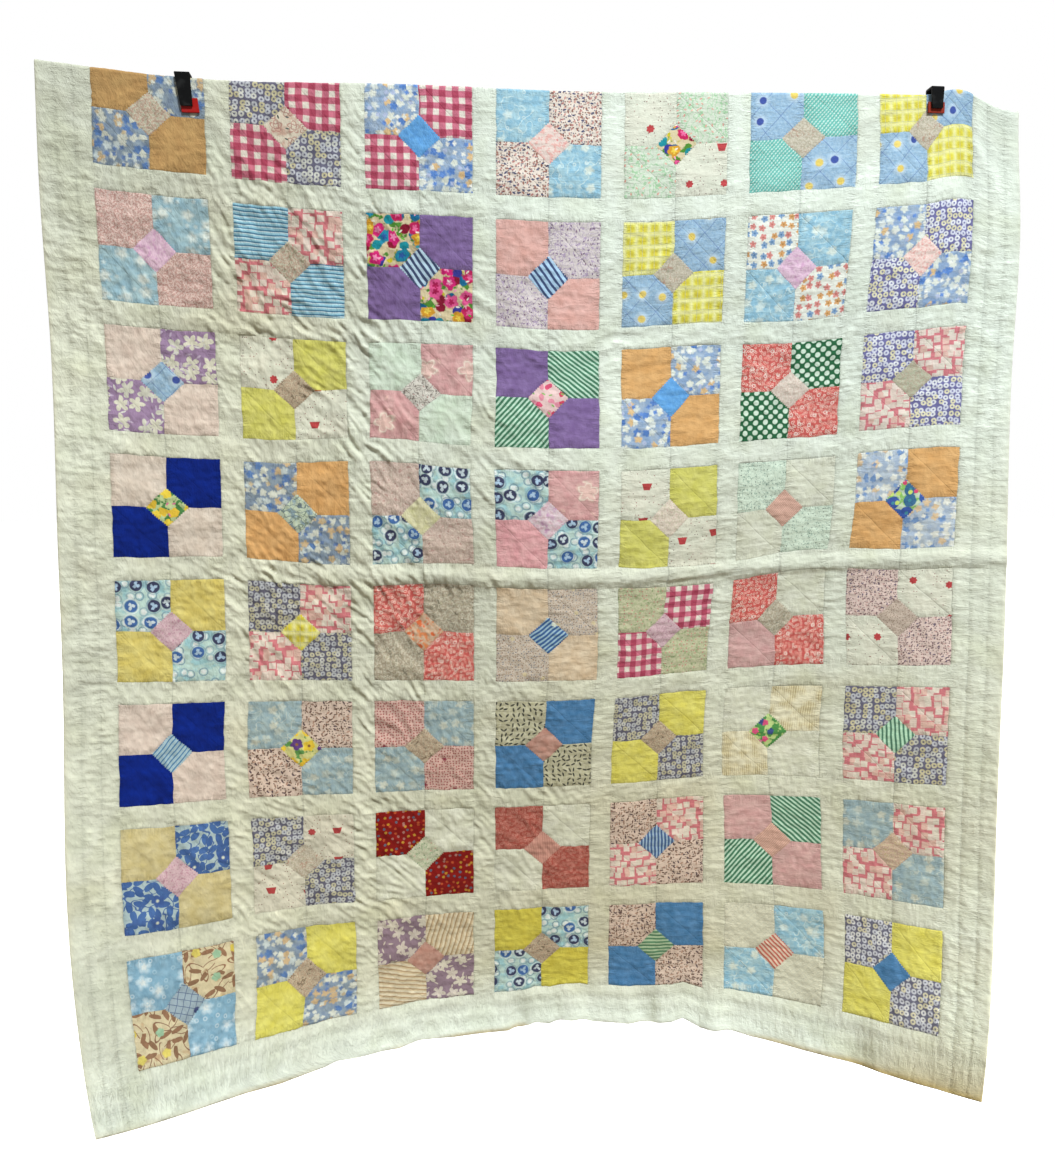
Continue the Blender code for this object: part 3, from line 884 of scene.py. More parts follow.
# A loom holds the nodes of one material or of the world.
class Loom:
    def __init__(self, tree):
        self.tree = tree

    def node(self, kind, settings=None, inputs=None, output=0):
        made = self.tree.nodes.new(kind)
        for label, value in (settings or {}).items():
            if label == "stops":
                ramp = made.color_ramp.elements
                while len(ramp) < len(value):
                    ramp.new(1)
                for element, (position, colour) in zip(ramp, value):
                    element.position = position
                    element.color = colour
            elif label == "interpolation" and kind == "ShaderNodeValToRGB":
                made.color_ramp.interpolation = value
            else:
                setattr(made, label, value)
        for label, value in (inputs or {}).items():
            if isinstance(value, Thread):
                self.tree.links.new(value.socket, made.inputs[label])
            else:
                made.inputs[label].default_value = value
        return Thread(self, made.outputs[output])

    def split(self, vector):
        x = self.node("ShaderNodeSeparateXYZ", {}, {0: vector})
        return x, x.output("Y")

    def attribute(self, name):
        return self.node("ShaderNodeAttribute", {"attribute_name": name}, {}, "Fac")

    def join(self, thread, name):
        self.tree.links.new(thread.socket, self.shader.inputs[name])

    # The flat cloth in units of size millimetres, turned by degrees and stretched across. A seed says
    # where the print starts.
    def place(self, size, turn=0, stretch=1, seed=0):
        inputs = {
            "Vector": self.flat,
            "Location": (seed * 0.73, seed * 0.31, 0),
            "Rotation": (0, 0, math.radians(turn)),
            "Scale": (size * stretch / 1000, size / 1000, 1),
        }
        return self.node("ShaderNodeMapping", {"vector_type": "TEXTURE"}, inputs)

    def noise(self, size, turn=0, stretch=1, seed=0, detail=2):
        inputs = {"Vector": self.place(size, turn, stretch, seed), "Scale": 1, "Detail": detail}
        return self.node("ShaderNodeTexNoise", {"noise_dimensions": "2D"}, inputs)

    def mix(self, factor, first, second, blend="MIX"):
        inputs = {0: factor}
        for index, colour in ((6, first), (7, second)):
            inputs[index] = dye(colour) if isinstance(colour, str) else colour
        settings = {"data_type": "RGBA", "blend_type": blend}
        return self.node("ShaderNodeMix", settings, inputs, 2)

    def shade(self, colour, amount):
        inputs = {0: dye(colour)[:3] if isinstance(colour, str) else colour, "Scale": amount}
        return self.node("ShaderNodeVectorMath", {"operation": "SCALE"}, inputs)

    def choose(self, pick, colours):
        if len(colours) == 1:
            return colours[0]
        stops = [(i / len(colours), dye(colour)) for i, colour in enumerate(colours)]
        settings = {"interpolation": "CONSTANT", "stops": stops}
        return self.node("ShaderNodeValToRGB", settings, {0: pick})


def startMaterial(name, roughness, specular):
    material = bpy.data.materials.new(name)
    material.use_nodes = True
    loom = Loom(material.node_tree)
    loom.material = material
    loom.shader = material.node_tree.nodes["Principled BSDF"]
    loom.shader.inputs["Roughness"].default_value = roughness
    loom.shader.inputs["Specular IOR Level"].default_value = specular
    return loom


def startCloth(name):
    loom = startMaterial(name, finishPlan["roughness"], finishPlan["specular"])
    loom.flat = loom.node("ShaderNodeUVMap", {"uv_map": "flat"})
    loom.piecing = loom.node("ShaderNodeUVMap", {"uv_map": "piecing"})
    return loom


# Layers of a print. Each takes the colour below it and gives the colour with its own ink on top. The
# cloths name a layer with its settings only. Sizes are in millimetres, and inks stand in one string.
def layer(paint):
    def keepSettings(*settings, **more):
        return lambda loom, below: paint(loom, below, *settings, **more)

    return keepSettings


@layer
def mottle(loom, below, size, inks, spread=0.5, detail=3):
    low = 0.5 - spread / 2
    inks = inks.split()
    last = len(inks) - 1
    stops = [(low + spread * i / last, dye(ink)) for i, ink in enumerate(inks)]
    return loom.node("ShaderNodeValToRGB", {"stops": stops}, {0: loom.noise(size, detail=detail)})


@layer
def blotches(loom, below, size, ink, share=0.4, soft=0.08, seed=0):
    cover = ((loom.noise(size, seed=seed) - (1 - share)) / soft + 0.5).clamped()
    return loom.mix(cover, below, ink)


def bandCover(loom, pitch, share, turn, soft, seed=0):
    x = loom.split(loom.place(pitch, turn, 1, seed))[0]
    away = x.maths("PINGPONG", x, 0.5)
    return ((share / 2 - away) / soft + 0.5).clamped()


@layer
def stripes(loom, below, pitch, share, ink, turn=0, soft=0.08, strength=1, seed=0):
    return loom.mix(bandCover(loom, pitch, share, turn, soft, seed) * strength, below, ink)


@layer
def checks(loom, below, pitch, share, half, full, soft=0.06):
    warp = bandCover(loom, pitch, share, 0, soft)
    weft = bandCover(loom, pitch, share, 90, soft)
    below = loom.mix(warp.most(weft), below, half)
    return loom.mix(warp * weft, below, full)


# Cells scattered over the cloth: where in the cell, how far from its middle, and two random numbers.
def scatter(loom, size, jitter, turn=0, seed=0, distance="EUCLIDEAN"):
    place = loom.place(size, turn, 1, seed)
    inputs = {"Vector": place, "Scale": 1, "Randomness": jitter}
    away = loom.node("ShaderNodeTexVoronoi", {"voronoi_dimensions": "2D", "distance": distance}, inputs)
    pick, other = loom.split(away.output("Color"))
    return place, away, pick, other


def fromMiddle(loom, place, away):
    inputs = {0: place, 1: away.output("Position")}
    return loom.node("ShaderNodeVectorMath", {"operation": "SUBTRACT"}, inputs)


spotShape = {"turn": 6.28, "leafTaper": 0.1, "roughSize": 0.9}
squiggleShape = {"soft": 0.6, "gateSize": 1.7, "gateSoft": 0.04}


# Dots, rings, squares, leaves and flowers. leaf is how wide a leaf is for its length, deep and rough
# shape the petals and the outline, core is a middle's radius and ink, and chance leaves some out.
@layer
def spots(
    loom, below, size, radius, inks, turn=0, petals=0, leaf=0, square=False, ring=0, deep=0.35, rough=0,
    jitter=0.8, chance=1, core=None, soft=0.05, seed=0,
):
    distance = "CHEBYCHEV" if square else "EUCLIDEAN"
    place, away, pick, other = scatter(loom, size, jitter, turn, seed, distance)
    reach = radius / size
    if petals or leaf:
        inputs = {"Vector": fromMiddle(loom, place, away), "Angle": pick * spotShape["turn"]}
        offset = loom.node("ShaderNodeVectorRotate", {"rotation_type": "Z_AXIS"}, inputs)
        x, y = loom.split(offset)
    if leaf:
        y = y / leaf
        away = x.maths("SQRT", x * x + y * y + abs(y) * spotShape["leafTaper"])
    if petals:
        angle = x.maths("ARCTAN2", y, x)
        reach = (abs(x.maths("COSINE", angle * petals / 2)) * deep + 1 - deep) * reach
    if rough:
        outline = loom.noise(radius * spotShape["roughSize"], seed=seed + 3) - 0.5
        reach = (1 + outline * rough * 2) * reach
    cover = ((reach - away) / soft + 0.5).clamped()
    if ring:
        cover = cover * ((away - (reach - ring / size)) / soft + 0.5).clamped()
    if chance < 1:
        cover = cover * (other < chance)
    below = loom.mix(cover, below, loom.choose(pick, inks.split()))
    if core:
        middle = ((core[0] / size - away) / soft + 0.5).clamped()
        if chance < 1:
            middle = middle * (other < chance)
        below = loom.mix(middle, below, core[1])
    return below


@layer
def squiggles(loom, below, size, width, ink, chance=1, strength=1, seed=0):
    noise = loom.noise(size, seed=seed, detail=1)
    line = ((width - abs(noise - 0.5)) / (width * squiggleShape["soft"])).clamped()
    if chance < 1:
        gate = loom.noise(size * squiggleShape["gateSize"], seed=seed + 5, detail=1)
        line = line * ((chance - gate) / squiggleShape["gateSoft"] + 0.5).clamped()
    return loom.mix(line * strength, below, ink)


# Little pots and buds, in millimetres.
potShape = {
    "halfWidth": 8.6,
    "taper": 0.3,
    "halfHeight": 7.6,
    "budRadius": 6.4,
    "budLobes": 7,
    "budDepth": 2,
    "potShare": 0.55,
    "jitter": 0.3,
}


@layer
def pots(loom, below, size, inks, seed=0):
    place, cell, pick, _ = scatter(loom, size, potShape["jitter"], 0, seed)
    x, y = loom.split(fromMiddle(loom, place, cell))
    x = x * size
    y = y * size
    halfWidth = potShape["halfWidth"] - y * potShape["taper"]
    pot = (halfWidth - abs(x)).least(potShape["halfHeight"] - abs(y))
    lobes = abs(x.maths("COSINE", x.maths("ARCTAN2", y, x) * (potShape["budLobes"] / 2)))
    bud = potShape["budRadius"] + lobes * potShape["budDepth"] - x.maths("SQRT", x * x + y * y)
    isPot = pick < potShape["potShare"]
    isBud = potShape["potShare"] - pick < 0
    cover = (pot * isPot).clamped().most((bud * isBud).clamped())
    return loom.mix(cover, below, loom.choose(pick, inks.split()))


def daisies(inks):
    return spots(17, 8.2, inks, petals=5, rough=0.35, jitter=0.95, chance=0.85, soft=0.2)


def smallBlooms(inks):
    return spots(15, 4.6, inks, petals=4, rough=0.4, chance=0.5, soft=0.2, seed=3)


def bigRings(inks, size=11.6, radius=5.4):
    return spots(size, radius, inks, ring=3.6, rough=0.12, jitter=0.45, soft=0.09)


# Cloths with one mottled ground: size of the mottling, its dyes, and how softly they run together.
mottledCloths = {
    "amber": (30, "b88c50 c8a062"),
    "orange": (28, "d39c58 e2b070"),
    "cornflower": (9, "4c95d6 62a8e2", 0.4),
    "midBlue": (16, "4478a6 5c8cba"),
    "cobalt": (24, "001c71 002485"),
    "ochreMottle": (5, "b89e6c cfbea2 bd9886 d6ccae"),
    "oliveMottle": (5.5, "9c9e80 babca2 b2a08c a8b090"),
    "creamPink": (4.5, "c8a498 e2dacb d2b6a8 c4c6b0"),
    "palePinkPrint": (5, "d8b8ac e9e2d0 d9c6b4 c9cbae", 0.45),
    "dustyTweed": (4.2, "a87470 ecd6cc be8a82 f0e2da", 0.6),
    "blushBlotch": (9, "bf9c92 dac8ba c6aca0 d6c6b6", 0.4),
    "roseBlotch": (8, "e4a49c f2dcd2 eabab0", 0.4),
    "orchid": (10, "d2a2c4 e6c6d8 d8acca", 0.4),
    "orchidPale": (6, "b88a9a d4b8be c49aa8", 0.4),
    "lilacMist": (14, "c698ba dfced2 d4aab8", 0.4),
    "lemon": (24, "ccc956 d8d574"),
    "brightYellow": (24, "d7ce50 e2dc70"),
    "goldLemon": (24, "cabb32 dad04e"),
    "butter": (24, "d4c05c e0d27c"),
    "paleButter": (24, "c4b478 d2c696"),
    "yellowMist": (16, "d2cf98 e8e4c0"),
    "purple": (22, "785e90 8b72a4"),
    "salmon": (22, "dca498 eabab0"),
    "salmonPink": (20, "e09ca2 eeb6b8"),
    "palePink": (22, "d4c0b2 e4d4c6"),
    "shellPink": (22, "d4c4b4 e0d4c6"),
    "orchidPink": (20, "c89795 d7b0ab"),
    "terracotta": (14, "b27e6e c89e90"),
    "beige": (22, "d4ba98 e4d2b6"),
    "paleMint": (30, "cddec6 dce8d6"),
    "bleached": (30, "d4d6be e2e4d2"),
}

# The other cloths: the ground's dye, then the layers of the print.
fabrics = {
    "greyDaisy": (
        "7c90a8",
        blotches(16, "8d9fae", 0.5, 0.2),
        daisies("d5d9cc c6d2d2 4f78b2 cfb389 d5d9cc"),
        smallBlooms("d9ddd2 5d7db2 c9b896"),
    ),
    "brightDaisy": (
        "88a4c8",
        blotches(16, "a0b4ca", 0.5, 0.2),
        daisies("e4e8dc d8e0dc 4a7cc4 dfbc88 e0e6da"),
        smallBlooms("eeefe6 5a88d0 b4c0de"),
    ),
    "palerDaisy": (
        "a6b8ce",
        blotches(16, "bac7d2", 0.5, 0.2),
        daisies("e6e8de dbe2e2 6f94c6 dfc49e e6e8de"),
        smallBlooms("ebece2 7598c8 c6cfdc"),
    ),
    "slateRing": ("5e5c76", bigRings("cccec6 bec2ca c9c29e")),
    "violetRing": ("66649c", bigRings("e2e4e8 d4d7e6 dfd9b6")),
    "greyRing": ("565469", bigRings("c0c1ba b4b8bd bdb99c", 11, 5.1)),
    "darkRing": ("626279", bigRings("d8d9d8 cacdd6 d2ccae")),
    "crimsonGingham": ("e8dfd2", checks(24.5, 0.52, "cc6a82", "aa2a50")),
    "coralRing": (
        "d0544e",
        spots(6.4, 2.6, "eebcae e8a494 f0d8c8", ring=1.2, jitter=0.9),
        spots(19, 3.8, "f6e8dc", ring=1.4, jitter=0.9, chance=0.5, seed=2),
    ),
    "skyFaded": (
        "8cbcd2",
        blotches(13, "a6ccd8", 0.5, 0.2),
        squiggles(26, 0.03, "c3dde0", chance=0.5),
        spots(40, 9, "cfe2e0 d9e6dc", petals=5, rough=0.4, chance=0.7, soft=0.14),
        spots(24, 3.2, "d8e6e2", ring=1.2, chance=0.4, seed=4),
    ),
    "dustyBlue": (
        "91abb4",
        blotches(13, "a0b6b8", 0.5, 0.25),
        spots(32, 9, "bcc8c0 c6ccbe", petals=5, rough=0.5, chance=0.8, soft=0.14),
        squiggles(22, 0.025, "b8c6c0", chance=0.5),
    ),
    "blossomBlue": (
        "93b9c9",
        blotches(20, "a6c6ce", 0.5, 0.3),
        spots(36, 11, "d2dfdb c6d8d8", petals=5, deep=0.3, rough=0.4, chance=0.85, soft=0.2),
        spots(36, 5, "e4ece4 dbe6e2", ring=2.2, rough=0.3, chance=0.85, soft=0.08),
        spots(21, 4, "c2d6d8", petals=5, chance=0.5, soft=0.16, seed=3),
    ),
    "skyBlossom": (
        "78a6c0",
        blotches(18, "8ab4cb", 0.5, 0.3),
        spots(34, 13, "bcd6e2 b2d0e0", petals=5, rough=0.4, chance=0.8, soft=0.2),
        spots(34, 6, "dfe9e8 d2e2e8", petals=5, rough=0.4, chance=0.8, soft=0.1),
        spots(19, 4, "c9dde6 a8cbdc", ring=1.6, chance=0.7, soft=0.12, seed=3),
    ),
    "creamDitsy": (
        "eadcce",
        spots(9, 3.5, "bf8078 985f50 43466c cf9a8e a87464", leaf=0.6, rough=0.4),
        spots(5, 1.3, "846056 6a6678", chance=0.7, seed=2),
    ),
    "pinkDitsy": (
        "dfc8bf",
        spots(8, 2.9, "74525a a98a86 62506a c49a94", leaf=0.5, rough=0.25),
        spots(4.6, 1.1, "6a4f50", chance=0.6, seed=2),
    ),
    "brownDitsy": (
        "d8c2b2",
        spots(10, 4.2, "66463a 927260 b08a76 543c44", leaf=0.45, rough=0.35, jitter=0.95),
        spots(5, 1.3, "5a4238", chance=0.5, seed=2),
    ),
    "tanDitsy": (
        "cfc2b2",
        spots(5, 1.8, "927666 ad937c 7a7d88 bda088", leaf=0.6),
        spots(26, 5, "dacba4", petals=5, chance=0.5, seed=2),
    ),
    "tanFine": ("c2b0a0", spots(4, 1.4, "9a8474 cec0b0 8a7468", leaf=0.6)),
    "coralGeo": (
        "ead4ca",
        blotches(9, "eab4aa", 0.45, 0.08),
        blotches(6, "e58f8c", 0.3, 0.06, seed=3),
    ),
    "redPots": (
        "dfdecb",
        blotches(40, "dcdecb", 0.5, 0.3),
        spots(6, 1.0, "96504c 6e4a48", jitter=1, chance=0.16, seed=2),
        pots(72, "b0262c ba2c34"),
    ),
    "redTulips": (
        "d6d2be",
        spots(6.5, 1.1, "a0786a 84605a", jitter=1, chance=0.22, seed=2),
        pots(70, "a8262a b23034", seed=5),
    ),
    "mintCoral": (
        "d0dac6",
        squiggles(13, 0.045, "a3cba0"),
        spots(11, 3.1, "d99c8c e0b3a0 a0c99c", leaf=0.6, chance=0.6),
    ),
    "oliveCoral": (
        mottle(9, "9fae80 c9c6a4 b0b98e", spread=0.4),
        spots(8, 1.8, "c4867c cc9484 8aa070", petals=4, chance=0.55),
    ),
    "carnival": (
        "dccca4",
        blotches(20, "528c34", 0.42, 0.06),
        blotches(26, "cabc2c", 0.32, 0.06, seed=4),
        spots(26, 9.5, "1b6a94 1d8f9c 8a1430 3a3a94", rough=0.25, chance=0.75, seed=3),
        spots(
            31, 14, "d42474 e65a94 c8245e 1f86a4 d89c30", petals=5, deep=0.2, rough=0.5, chance=0.85,
            soft=0.08
        ),
        spots(
            31, 6.5, "ee8cb4 b01c54 ea6a9c 2c5aa0 f0d050", petals=5, deep=0.5, rough=0.5, chance=0.85
        ),
        spots(17, 4, "f2a6c2 efe9d8 64b83a", leaf=0.5, chance=0.4, seed=6),
    ),
    "garden": (
        "bcd686",
        blotches(18, "3c8c3a", 0.55, 0.06),
        blotches(14, "a2c63c", 0.3, 0.06, seed=4),
        spots(21, 7.6, "e0487e 2a64a4 ee8fb2 1f3f86", petals=5, deep=0.25, rough=0.3, chance=0.6),
    ),
    "posy": (
        "bfd296",
        blotches(15, "347f34", 0.5, 0.06),
        spots(21, 11, "e4be22 ecd034 d9b21e", petals=5, deep=0.25, rough=0.3, chance=0.85),
        spots(24, 4, "dc6f9a", leaf=0.6, chance=0.5, seed=4),
    ),
    "poppy": (
        "eac8c4",
        spots(16, 8.6, "d03258 dc4470 e48ca0", leaf=0.6, rough=0.4, chance=0.9),
        spots(19, 4, "86bf5a", leaf=0.5, chance=0.5, seed=4),
    ),
    "pansy": (
        "d2d084",
        blotches(17, "4f8f3e", 0.4, 0.06),
        spots(26, 12.5, "e4bd1c e8c726 54207c", petals=5, deep=0.25, rough=0.3, core=(3, "8a5a1c")),
    ),
    "blueCircles": (
        "bccfb2",
        blotches(16, "86c05a", 0.5, 0.06),
        spots(
            27, 13, "1546a0 12608c 1b52ac", rough=0.15, jitter=0.6, chance=0.95, core=(3.4, "2c8a9c")
        ),
        spots(19, 4.6, "d8366e c8e06a", chance=0.5, seed=4),
    ),
    "blueTrellis": (
        mottle(5, "86aac8 a4c2d6"),
        stripes(42, 0.03, "5c78ac", turn=42, soft=0.02, strength=0.8),
        stripes(42, 0.03, "5c78ac", turn=-42, soft=0.02, strength=0.8),
        spots(46, 12, "b9cfe0 bdd3e0", jitter=0.6, chance=0.6, soft=0.2),
        spots(46, 7.4, "26459c e9cf6c e2c65c", jitter=0.6, chance=0.6),
    ),
    "tealCheck": (
        "c9e2d8",
        stripes(5.6, 0.52, "4fb0a2", turn=40, soft=0.25),
        stripes(5.6, 0.42, "5fbbae", turn=-40, soft=0.25, strength=0.8),
    ),
    "tanMottle": (
        mottle(4.5, "a6967e ccc6b4 b4a690 a8b098", spread=0.55),
        squiggles(14, 0.03, "b0907c", chance=0.5),
    ),
    "mossMottle": (
        mottle(4.5, "a6a288 d0cdb6 bf9c8c bbb79c", spread=0.55),
        squiggles(14, 0.03, "948c72", chance=0.5),
    ),
    "brownMottle": (
        mottle(5, "84725c c6b89e a98c74 ccc4a6"),
        squiggles(12, 0.035, "77664e", chance=0.5),
    ),
    "greyOlive": (mottle(6, "928c78 d0cab4 a99a86 bcb99c"), squiggles(14, 0.03, "8a8470", chance=0.5)),
    "pinkTweed": (
        "d6b0a5",
        spots(6, 1.6, "9c4a48 a4524e", jitter=0.5),
        spots(64, 4.6, "8c1c3a", petals=5, jitter=0.6, chance=0.8, seed=3),
    ),
    "coralTweed": ("a23f31", spots(6.4, 2.6, "cc8c7c d89c8c b87868", ring=0.9, jitter=0.9)),
    "orangeCream": (mottle(15, "de662a d8bfa4 d2aa88 e68a50", spread=0.3, detail=2),),
    "turquoiseStripe": (
        "92c8dc",
        stripes(8, 0.42, "2f7498", turn=90, soft=0.15),
        stripes(8, 0.2, "d6eaee", turn=90, soft=0.15, seed=5.4),
    ),
    "pinkTiles": ("d2767e", spots(15, 6.6, "e2d8c8 dfccbe e5d5c8 dfb8aa", square=True, jitter=0.7)),
    "navyStripe": ("bcd8ea", stripes(10.5, 0.5, "1d3462", turn=-35, soft=0.08)),
    "navyPale": ("add0ec", stripes(10.5, 0.44, "1c3a6e", turn=-38, soft=0.08)),
    "blueStripe": (
        "9fbcd4",
        stripes(7.4, 0.55, "2a548c", turn=0, soft=0.1),
        spots(60, 7, "e0d8bc", petals=5, jitter=0.4, chance=0.7),
    ),
    "blueDiagonal": (
        "9cc0d2",
        stripes(7.6, 0.56, "1d5492", turn=50, soft=0.1),
        spots(44, 6, "d9e2d2", petals=5, jitter=0.4, chance=0.4),
    ),
    "blueTicking": (
        "b8cece",
        stripes(7.4, 0.4, "3f7fae", turn=40, soft=0.12),
        stripes(7.4, 0.2, "8fbad2", turn=40, soft=0.1, seed=5),
    ),
    "greenDiagonal": ("c0e2ca", stripes(8.2, 0.54, "2c7452", turn=-50, soft=0.08)),
    "greenStripe": ("bae6c6", stripes(8.6, 0.46, "41785e", turn=-4, soft=0.08)),
    "greenTicking": ("a8c4a0", stripes(8, 0.5, "447a56", turn=90, soft=0.1)),
    "redTicking": ("e2cbb6", stripes(7.6, 0.48, "c05a4a", turn=-45, soft=0.1)),
    "tanStripe": (
        "e0d4b6",
        stripes(10, 0.3, "b0946c", turn=16, soft=0.08),
        stripes(10, 0.12, "cbb186", turn=16, soft=0.05, seed=6),
    ),
    "pinstripe": ("dcd4aa", stripes(4.6, 0.3, "b8a076", soft=0.15), blotches(30, "e9e4c6", 0.5, 0.3)),
    "roseStripe": ("cf9a8a", stripes(3.8, 0.4, "b87a6c", turn=2, soft=0.2)),
    "salmonStripe": ("d8b09e", stripes(3.6, 0.4, "c2907f", turn=40, soft=0.2)),
    "lilacSprig": (
        "dacfcd",
        squiggles(9, 0.05, "a890b4", strength=0.8),
        spots(9, 2.5, "6c5078 907696 7c5876", leaf=0.5, chance=0.65),
    ),
    "greyTwig": (
        "dcd6ca",
        squiggles(9, 0.05, "8a8078", chance=0.7),
        spots(10, 2.4, "7c726a ab9c90 b88e88", leaf=0.5, chance=0.6),
    ),
    "mintTwig": (
        "d6e6d2",
        squiggles(9, 0.03, "9bb3a2", chance=0.6),
        spots(8, 1.8, "54685c 7d8f84 9fb6a2", leaf=0.55, chance=0.55),
    ),
    "greenTwig": (
        "c6c8ac",
        squiggles(10, 0.035, "9ab08c", chance=0.65),
        spots(9, 2.4, "80a077 c8958a 708c68", leaf=0.5, chance=0.65),
    ),
    "leafLine": (
        "c3d2ba",
        blotches(17, "8faab6", 0.45, 0.12),
        squiggles(22, 0.03, "627680"),
        squiggles(15, 0.024, "7c8e7e", seed=4),
    ),
    "roseOutline": (
        "dbd0bc",
        blotches(20, "c7a694", 0.4, 0.15),
        spots(30, 12, "b88478", petals=5, ring=2, rough=0.2, jitter=0.5),
        spots(30, 6.5, "a8746c", petals=4, ring=1.8, jitter=0.5),
        spots(23, 4, "4c5a58 2c3a38", leaf=0.5, chance=0.5, seed=4),
    ),
    "lemonPlaid": (
        "edeab0",
        spots(24, 10, "e2dd5e dcd656", square=True, jitter=0, soft=0.3),
        spots(24, 6.4, "dacb2a d6c62c", jitter=0, soft=0.2),
        stripes(24, 0.05, "c4c69a", soft=0.05, strength=0.8, seed=16.438),
        stripes(24, 0.05, "c4c69a", turn=90, soft=0.05, strength=0.8, seed=16.438),
    ),
    "bloomSalmon": (
        mottle(20, "cc9292 deb0ac"),
        spots(96, 23, "e6c0b4", petals=5, deep=0.45, rough=0.4, jitter=0.2, soft=0.1),
        spots(96, 22, "efdfce", petals=5, ring=3, deep=0.45, rough=0.4, jitter=0.2, soft=0.03),
        spots(30, 6, "e8bcb2 f0d8c8", leaf=0.5, chance=0.4, soft=0.12, seed=3),
    ),
    "lilacBlossom": (
        "9a7ea2",
        spots(34, 16, "dcdac6 d2d2c2", petals=5, deep=0.62, rough=0.35, jitter=0.7),
        spots(17, 6, "d6d5d0 c2b0ca", leaf=0.35, chance=0.6, seed=4),
    ),
    "plumBlossom": (
        "8c7484",
        spots(32, 14, "d9d2c0 d2c8bc", petals=5, deep=0.6, rough=0.35, jitter=0.7),
        spots(15, 5, "d0c5b5", leaf=0.35, chance=0.6, seed=4),
    ),
    "polkaGreen": ("28643f", spots(14.6, 5.3, "d6e8d4", turn=45, jitter=0, soft=0.1)),
    "ditsyRed": (
        "84120a",
        spots(12, 2.9, "be8a2c b8502c 5e6276 b88a30 a8746a", rough=0.5, jitter=0.8),
    ),
    "aquaDiscs": (
        "bcd8d0",
        blotches(22, "9ccad0", 0.45, 0.15),
        spots(24, 9, "7f9cac 94b0bc", ring=2.2, jitter=0.7),
        spots(24, 5, "e4ecea", rough=0.5, jitter=0.7),
        spots(36, 15, "dfe8ea 86a4b4", ring=1.6, jitter=0.55, chance=0.85, seed=4),
        spots(36, 11.8, "1a2250 2a5fa2 1c2654", jitter=0.55, chance=0.85, seed=4),
        spots(
            36, 7.4, "c9d8e0 a9c6e0", petals=3, deep=0.7, rough=0.7, jitter=0.55, chance=0.85, seed=4
        ),
    ),
    "tinyTulips": (
        "eceee2",
        spots(17.5, 7, "d98a84 7fa2c8 d8a064", petals=5, deep=0.4, rough=0.3, jitter=0.5, soft=0.08),
        spots(17.5, 1.8, "c46a5c 4d78a8 b8823c", jitter=0.5),
    ),
    "dashes": (
        mottle(6, "b4b18e cccab0"),
        spots(11.5, 5, "2c2e26 3a3a2c", leaf=0.42, jitter=0.5, chance=0.95),
    ),
    "blueLeaves": (
        "a8bec2",
        spots(17, 12, "28589a 3262a2", leaf=0.55, jitter=0.8),
        squiggles(28, 0.03, "2c5898"),
        spots(
            54, 13, "245096", petals=5, deep=0.3, rough=0.3, chance=0.6, core=(2.8, "d5dcc6"), seed=4
        ),
    ),
    "leafScroll": (
        "dbcda6",
        blotches(26, "c2a47c", 0.32, 0.1),
        spots(30, 20, "8e6040 84583e", leaf=0.36, ring=4, jitter=0.9),
        spots(23, 13.5, "8a6444 966c4c", leaf=0.36, chance=0.95, seed=6),
        spots(46, 9, "dcc648 9cc4a0 e0cf62", petals=5, deep=0.2, jitter=0.5, chance=0.6, seed=4),
    ),
    "fineGrid": (
        "9aaeba",
        stripes(13, 0.1, "4c6488", turn=20, soft=0.04),
        stripes(13, 0.1, "4c6488", turn=-70, soft=0.04),
        spots(50, 6, "26386e", jitter=0.5),
    ),
    "creamCross": (
        "d8d7c0",
        stripes(9, 0.14, "cccdb8", turn=45, soft=0.1),
        stripes(9, 0.14, "cccdb8", turn=-45, soft=0.1),
    ),
}

